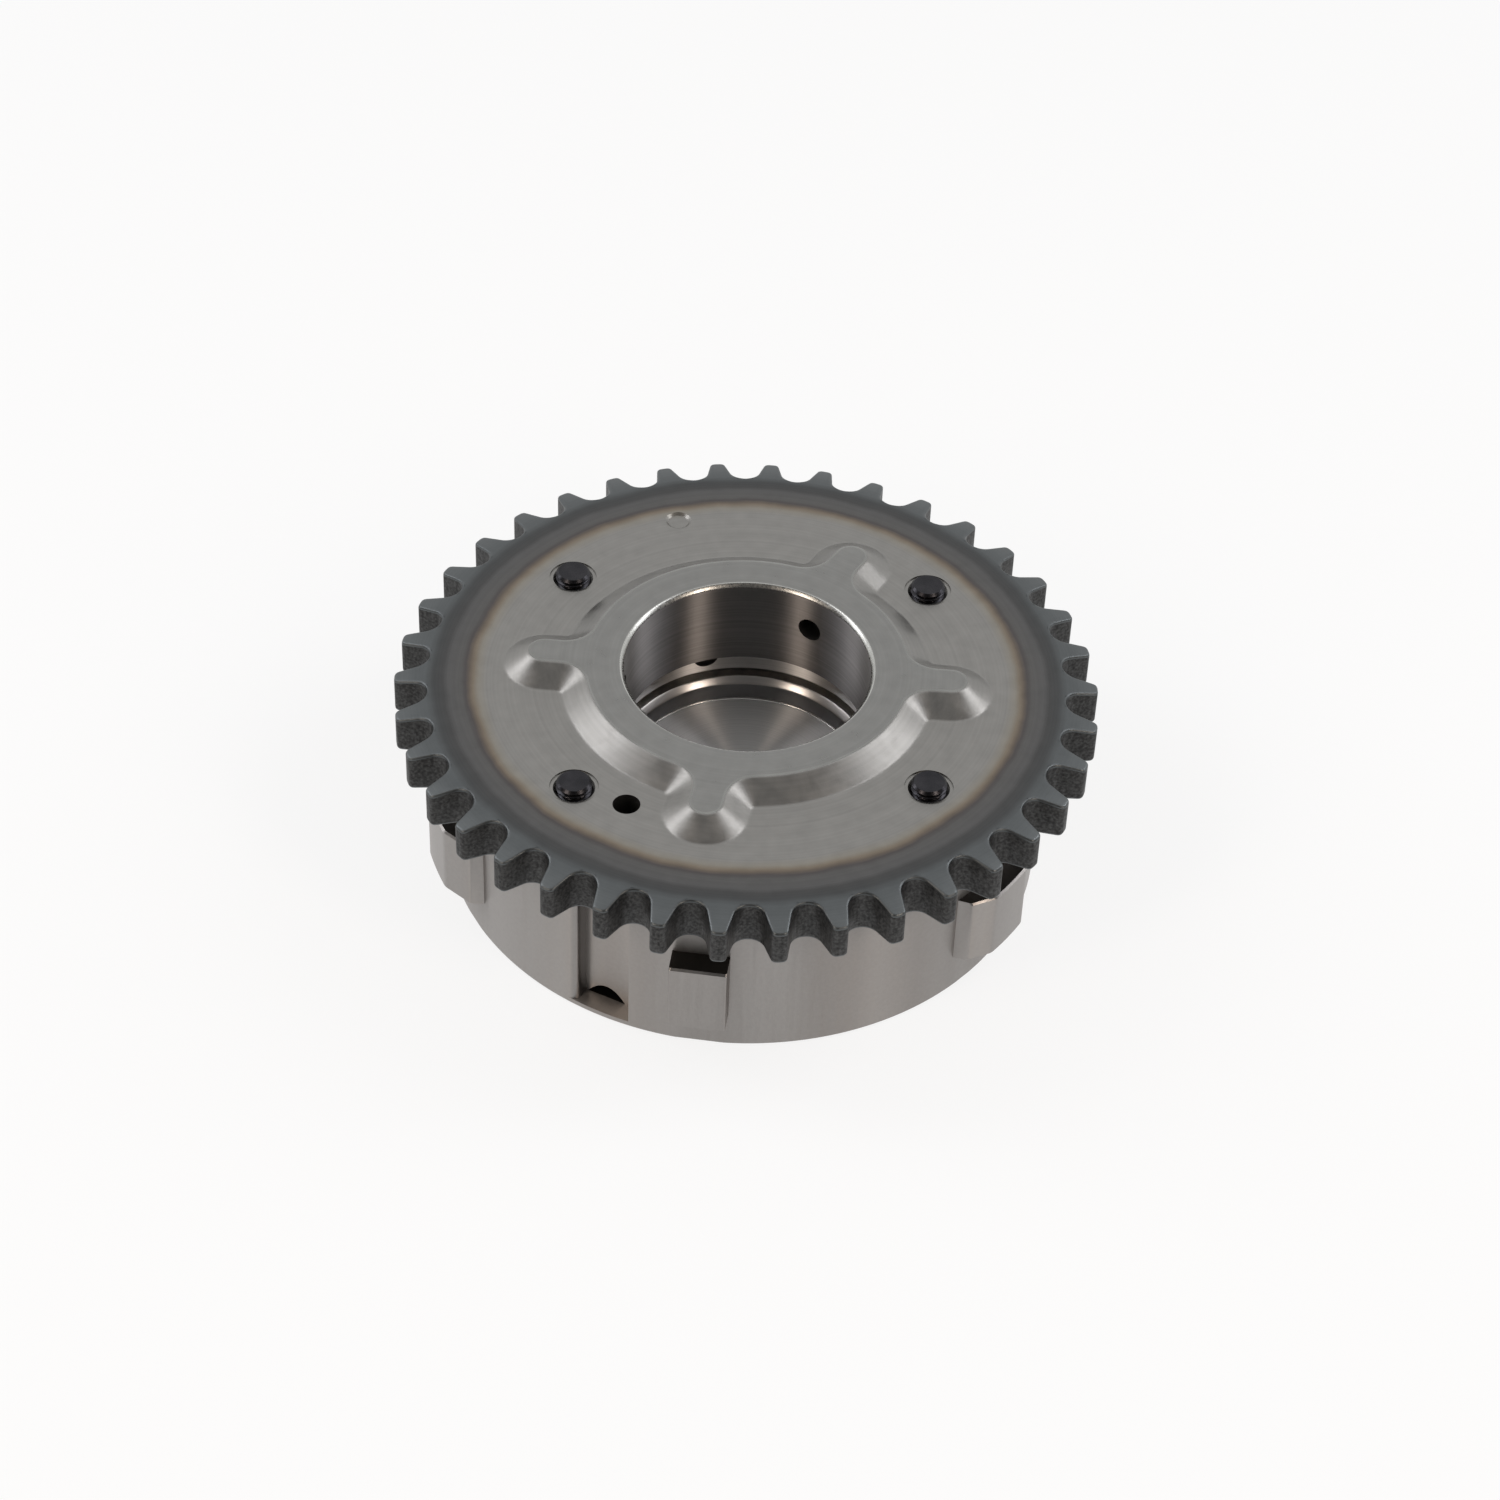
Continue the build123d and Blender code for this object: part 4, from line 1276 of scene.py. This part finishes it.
def room_outline():
    points = []
    for (start, end), (next_start, _) in zip(shoe_spans, shoe_spans[1:] + shoe_spans[:1]):
        middle = (start + end) / 2
        slot_start = middle - degrees(seal_slot_width / 2 / shoe_tip_radius)
        tip_end = polar(shoe_tip_radius, start + degrees(shoe_corner_round / shoe_tip_radius))
        tip_start = polar(shoe_tip_radius + shoe_corner_round, start)
        slot_foot = Vector((shoe_tip_radius + seal_slot_depth, -seal_slot_width / 2))
        side = [
            polar(chamber_radius, start),
            *corner(tip_start, polar(shoe_tip_radius, start), tip_end),
            polar(shoe_tip_radius, slot_start),
            *rotated([slot_foot], middle),
        ]
        points += side + mirrored(side, middle)
        points += [polar(chamber_radius, way) for way in ways_between(end, next_start, widest_chamber_step)]
    return points


# %% Housing body
front_wall = 6.5 * mm
nose_opening = 18.05 * mm
nose_sides = 192
front_chamfer = 0.5 * mm
mouth_edge = 0.15 * mm
housing_sharp_angle = 28
housing_names = ["housing_steel", "oily_steel"]
housing_finishes = [finishes[name] for name in housing_names]
painted_shade_slot = housing_names.index("oily_steel")

cup = bmesh.new()
blocks_in = drawn_in(blocked, grooved, block_edge)
levels = [
    (scaled(plain, front_chamfer), 0),
    (plain, front_chamfer),
    (plain, groove_foot),
    (grooved, groove_foot),
    (grooved, block_foot),
    (blocks_in, block_foot),
    (blocked, block_foot + block_edge),
    (blocked, block_top - block_edge),
    (blocks_in, block_top),
    (grooved, block_top),
    (grooved, housing_top - mouth_edge),
    (scaled(grooved, mouth_edge), housing_top),
]
# The top faces of the blocks lie under the overhanging teeth and get the painted shade finish.
ledge = levels.index((blocks_in, block_top))
level_rings = [ring(cup, points, height) for points, height in levels]
for index, (first, second) in enumerate(zip(level_rings, level_rings[1:])):
    strip(cup, first, second, painted_shade_slot if index == ledge else 0)
room = room_outline()
strip(cup, ring(cup, room, housing_top), ring(cup, room, front_wall))
turn(cup, [(nose_opening, front_wall), (nose_opening, 0)], nose_sides)
bmesh.ops.remove_doubles(cup, verts=cup.verts, dist=merge_distance)
for level in (housing_top, front_wall, 0):
    close_level(cup, level)
housing = finish_shape(cup, "cup_housing", *housing_finishes, sharp_angle=housing_sharp_angle)
report(housing)

# %% [markdown]
# The wheel's screw holes and timing hole go on into the housing. The pocket at the groove's foot is an arch,
# cut in level. Its inside and the ledges over the blocks, under the teeth, get painted shade: a near-black
# finish.

# %% Holes and the pocket at the groove's foot
screw_room = 0.3 * mm
timing_depth = 8.0 * mm
pocket_angle = -116.5
pocket_width = 7.0 * mm
pocket_height = 2.5 * mm
pocket_depth = 3.0 * mm

holes = bmesh.new()
wide, narrow = head_radius + screw_room, bolt_radius + screw_room
steps = [(wide, -over), (wide, head_top), (narrow, head_top), (narrow, housing_top + over)]
for spot in screw_spots:
    hole(holes, spot, *steps)
straight_hole(holes, timing_spot, timing_radius, housing_top - timing_depth, housing_top + over)

outward = polar(1, pocket_angle)
across = Vector((-outward.y, outward.x))
arch = corner((-pocket_width / 2, 0), (0, 2 * pocket_height), (pocket_width / 2, 0), steps=16)
ends = [
    [holes.verts.new((*(outward * reach + across * point.x), groove_foot + point.y)) for point in arch]
    for reach in (groove_floor_radius + over, groove_floor_radius - pocket_depth)
]
# The pocket's inside is painted shade.
strip(holes, *ends, slot=painted_shade_slot)
for end in ends:
    holes.faces.new(end).material_index = painted_shade_slot
cut(housing, finish_shape(holes, "housing_cutters", *housing_finishes), sharp_angle=housing_sharp_angle)
report(housing)

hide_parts("housing")
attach(housing, "drive")

# %% [markdown]
# ## The rotor
#
# The camshaft is clamped to the rotor, and its four vanes split the four chambers. Through the wheel's bore
# one sees its turned floor, the bright lead-in cone and the ledge above it.

# %% Outline of the hub with its vanes
hub_radius = 30.0 * mm
vane_tip_radius = 45.85 * mm
wide_vane_angle = 91.5
wide_vane_half_angle = 28.7
narrow_vane_angles = (192.15, 281.3, 368.7)
narrow_vane_half_width = 4.0 * mm
vane_root_round = 0.6 * mm
widest_hub_step = 3
widest_tip_step = 2
vanes = [(wide_vane_angle, None)] + [(angle, narrow_vane_half_width) for angle in narrow_vane_angles]


def vane_half(half_width):
    """Half a vane along +x, from its foot on the hub to its seal slot, on the side of negative y."""
    radii = (hub_radius, vane_tip_radius)
    if half_width is None:
        foot, tip = [polar(radius, -wide_vane_half_angle) for radius in radii]
    else:
        foot, tip = [chord_end(radius, half_width) for radius in radii]
    foot_way = degrees(atan2(foot.y, foot.x))
    tip_way = degrees(atan2(tip.y, tip.x))
    root = corner(
        polar(hub_radius, foot_way - degrees(vane_root_round / hub_radius)),
        foot,
        foot + (tip - foot).normalized() * vane_root_round,
    )
    slot_way = -degrees(seal_slot_width / 2 / vane_tip_radius)
    steps = max(1, round((slot_way - tip_way) / widest_tip_step))
    ways = [tip_way + (slot_way - tip_way) * step / steps for step in range(steps + 1)]
    slot_foot = Vector((vane_tip_radius - seal_slot_depth, -seal_slot_width / 2))
    return [*root, *[polar(vane_tip_radius, way) for way in ways], slot_foot]


def rotor_outline():
    points = []
    for (angle, half_width), (next_angle, next_width) in zip(vanes, vanes[1:] + vanes[:1]):
        half = vane_half(half_width)
        points += rotated(half + mirrored(half), angle)
        next_start = rotated(vane_half(next_width), next_angle)[0]
        ways = ways_between(way_of(points[-1]), way_of(next_start), widest_hub_step)
        points += [polar(hub_radius, way) for way in ways]
    return points


print("Points round the rotor:", len(rotor_outline()))

# %% Sizes of the rotor
end_gap = 0.04 * mm
boss_room = 25.05 * mm
oil_groove_radius = 26.5 * mm
oil_groove_top = 23.7 * mm
rotor_shelf = 17.0 * mm
lead_in_width = 1.0 * mm
turned_edge = 0.12 * mm
floor_round = 0.3 * mm
pilot_top = 16.0 * mm
pilot_floor = 12.5 * mm
centre_hole_radius = 6.3 * mm
web_foot = 6.5 * mm
recess_radius = 14.0 * mm
nose_radius = 18.0 * mm
hole_edge = 0.3 * mm
rotor_low, rotor_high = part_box("rotor")
nose_end, rotor_top = rotor_low[2], rotor_high[2]
rotor_foot = front_wall + end_gap
lead_in_radius = bore_radius + lead_in_width

# %% Profiles that are seen through the bore
room_profile = [
    (boss_room, rotor_top),
    (boss_room, oil_groove_top),
    (oil_groove_radius, oil_groove_top),
    (oil_groove_radius, rotor_shelf),
]
shelf_profile = [room_profile[-1], (lead_in_radius + turned_edge, rotor_shelf)]
lead_in_profile = [
    *corner(
        shelf_profile[-1],
        (lead_in_radius, rotor_shelf),
        (lead_in_radius - turned_edge, rotor_shelf - turned_edge),
        steps=3,
    ),
    *corner(
        (bore_radius + turned_edge, pilot_top + turned_edge),
        (bore_radius, pilot_top),
        (bore_radius, pilot_top - turned_edge),
        steps=3,
    ),
]
pilot_profile = [lead_in_profile[-1], (bore_radius, pilot_floor + floor_round)]
floor_corner = (bore_radius, pilot_floor)
corner_profile = corner(pilot_profile[-1], floor_corner, (bore_radius - floor_round, pilot_floor))
floor_profile = [
    corner_profile[-1],
    (centre_hole_radius + hole_edge, pilot_floor),
    (centre_hole_radius, pilot_floor - hole_edge),
    (centre_hole_radius, web_foot),
]
nose_profile = [
    floor_profile[-1],
    (recess_radius, web_foot),
    (recess_radius, nose_end + hole_edge),
    (recess_radius + hole_edge, nose_end),
    (nose_radius - hole_edge, nose_end),
    (nose_radius, nose_end + hole_edge),
    (nose_radius, rotor_foot),
]

# %% Rotor body
rotor_names = ["rotor_steel", "turned_floor", "lead_in_steel", "ground_steel"]
rotor_finishes = [finishes[name] for name in rotor_names]

hub = bmesh.new()
outline = rotor_outline()
strip(hub, ring(hub, outline, rotor_top), ring(hub, outline, rotor_foot))
for profile, name in (
    (room_profile, "turned_floor"),
    (shelf_profile, "ground_steel"),
    (lead_in_profile, "lead_in_steel"),
    (pilot_profile, "rotor_steel"),
    (corner_profile, "ground_steel"),
    (floor_profile, "turned_floor"),
    (nose_profile, "rotor_steel"),
):
    turn(hub, profile, slot=rotor_names.index(name))
for level in (rotor_top, rotor_foot):
    close_level(hub, level)
vane_rotor = finish_shape(hub, "vane_rotor", *rotor_finishes)
report(vane_rotor)

# %% Dowel hole and the lock pin's stepped hole
dowel_spot = polar(15.5 * mm, 270.0)
dowel_radius = 2.5 * mm
dowel_depth = 4.0 * mm
lock_spot = polar(36.8 * mm, wide_vane_angle)
lock_wide_radius = 5.55 * mm
lock_narrow_radius = 4.45 * mm
lock_step = 23.2 * mm

bores = bmesh.new()
straight_hole(bores, dowel_spot, dowel_radius, pilot_floor - dowel_depth, pilot_floor + over)
lock_hole = [
    (lock_wide_radius, rotor_foot - over),
    (lock_wide_radius, lock_step),
    (lock_narrow_radius, lock_step),
    (lock_narrow_radius, rotor_top + over),
]
hole(bores, lock_spot, *lock_hole)
cut(vane_rotor, finish_shape(bores, "rotor_cutters", *rotor_finishes))

# %% Oil holes beside the vanes
vane_oil_radius = 2.0 * mm
vane_oil_height = 21.6 * mm
vane_oil_offset = 4.5

level = bmesh.new()
far_sides = [wide_vane_angle + wide_vane_half_angle + vane_oil_offset]
half_root = degrees(narrow_vane_half_width / hub_radius)
far_sides += [angle + half_root + vane_oil_offset for angle in narrow_vane_angles]
for angle in far_sides:
    start = (*polar(oil_groove_radius - over, angle), vane_oil_height)
    drill(level, vane_oil_radius, hub_radius + 2 * over - oil_groove_radius, start, angle)
cut(vane_rotor, finish_shape(level, "oil_cutters", *rotor_finishes))
report(vane_rotor)

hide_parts("rotor")
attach(vane_rotor, "rotor")

# %% [markdown]
# ## Lock spring
#
# The lock pin stands on a coil spring inside the wide vane. Such a spring is wire wound on a mandrel, so a
# small circle is carried along a helix here, and neighbouring circles are joined. It rides on the rotor.

# %% Coil
coil_radius = 2.75 * mm
wire_radius = 0.4 * mm
wire_sides = 12
coil_turns = 5
steps_per_turn = 32
spring_seat = 8.6 * mm
pin_floor = 24.4 * mm
coil_end_gap = 0.05 * mm

coil_foot = spring_seat + coil_end_gap + wire_radius
coil_rise = pin_floor - coil_end_gap - wire_radius - coil_foot
coil_steps = coil_turns * steps_per_turn
coil = bmesh.new()
loops = []
for step in range(coil_steps + 1):
    height = coil_foot + coil_rise * step / coil_steps
    loop = []
    for side in circle(wire_radius, wire_sides):
        spot = lock_spot + polar(coil_radius + side.x, 360 * step / steps_per_turn)
        loop.append(coil.verts.new((*spot, height + side.y)))
    loops.append(loop)
for first, second in zip(loops, loops[1:]):
    strip(coil, first, second)
for end in (loops[0], loops[-1]):
    coil.faces.new(end)
lock_coil = finish_shape(coil, "lock_coil", finishes["spring_steel"])
report(lock_coil)

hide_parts("lock_spring")
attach(lock_coil, "rotor")
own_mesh(lock_coil)
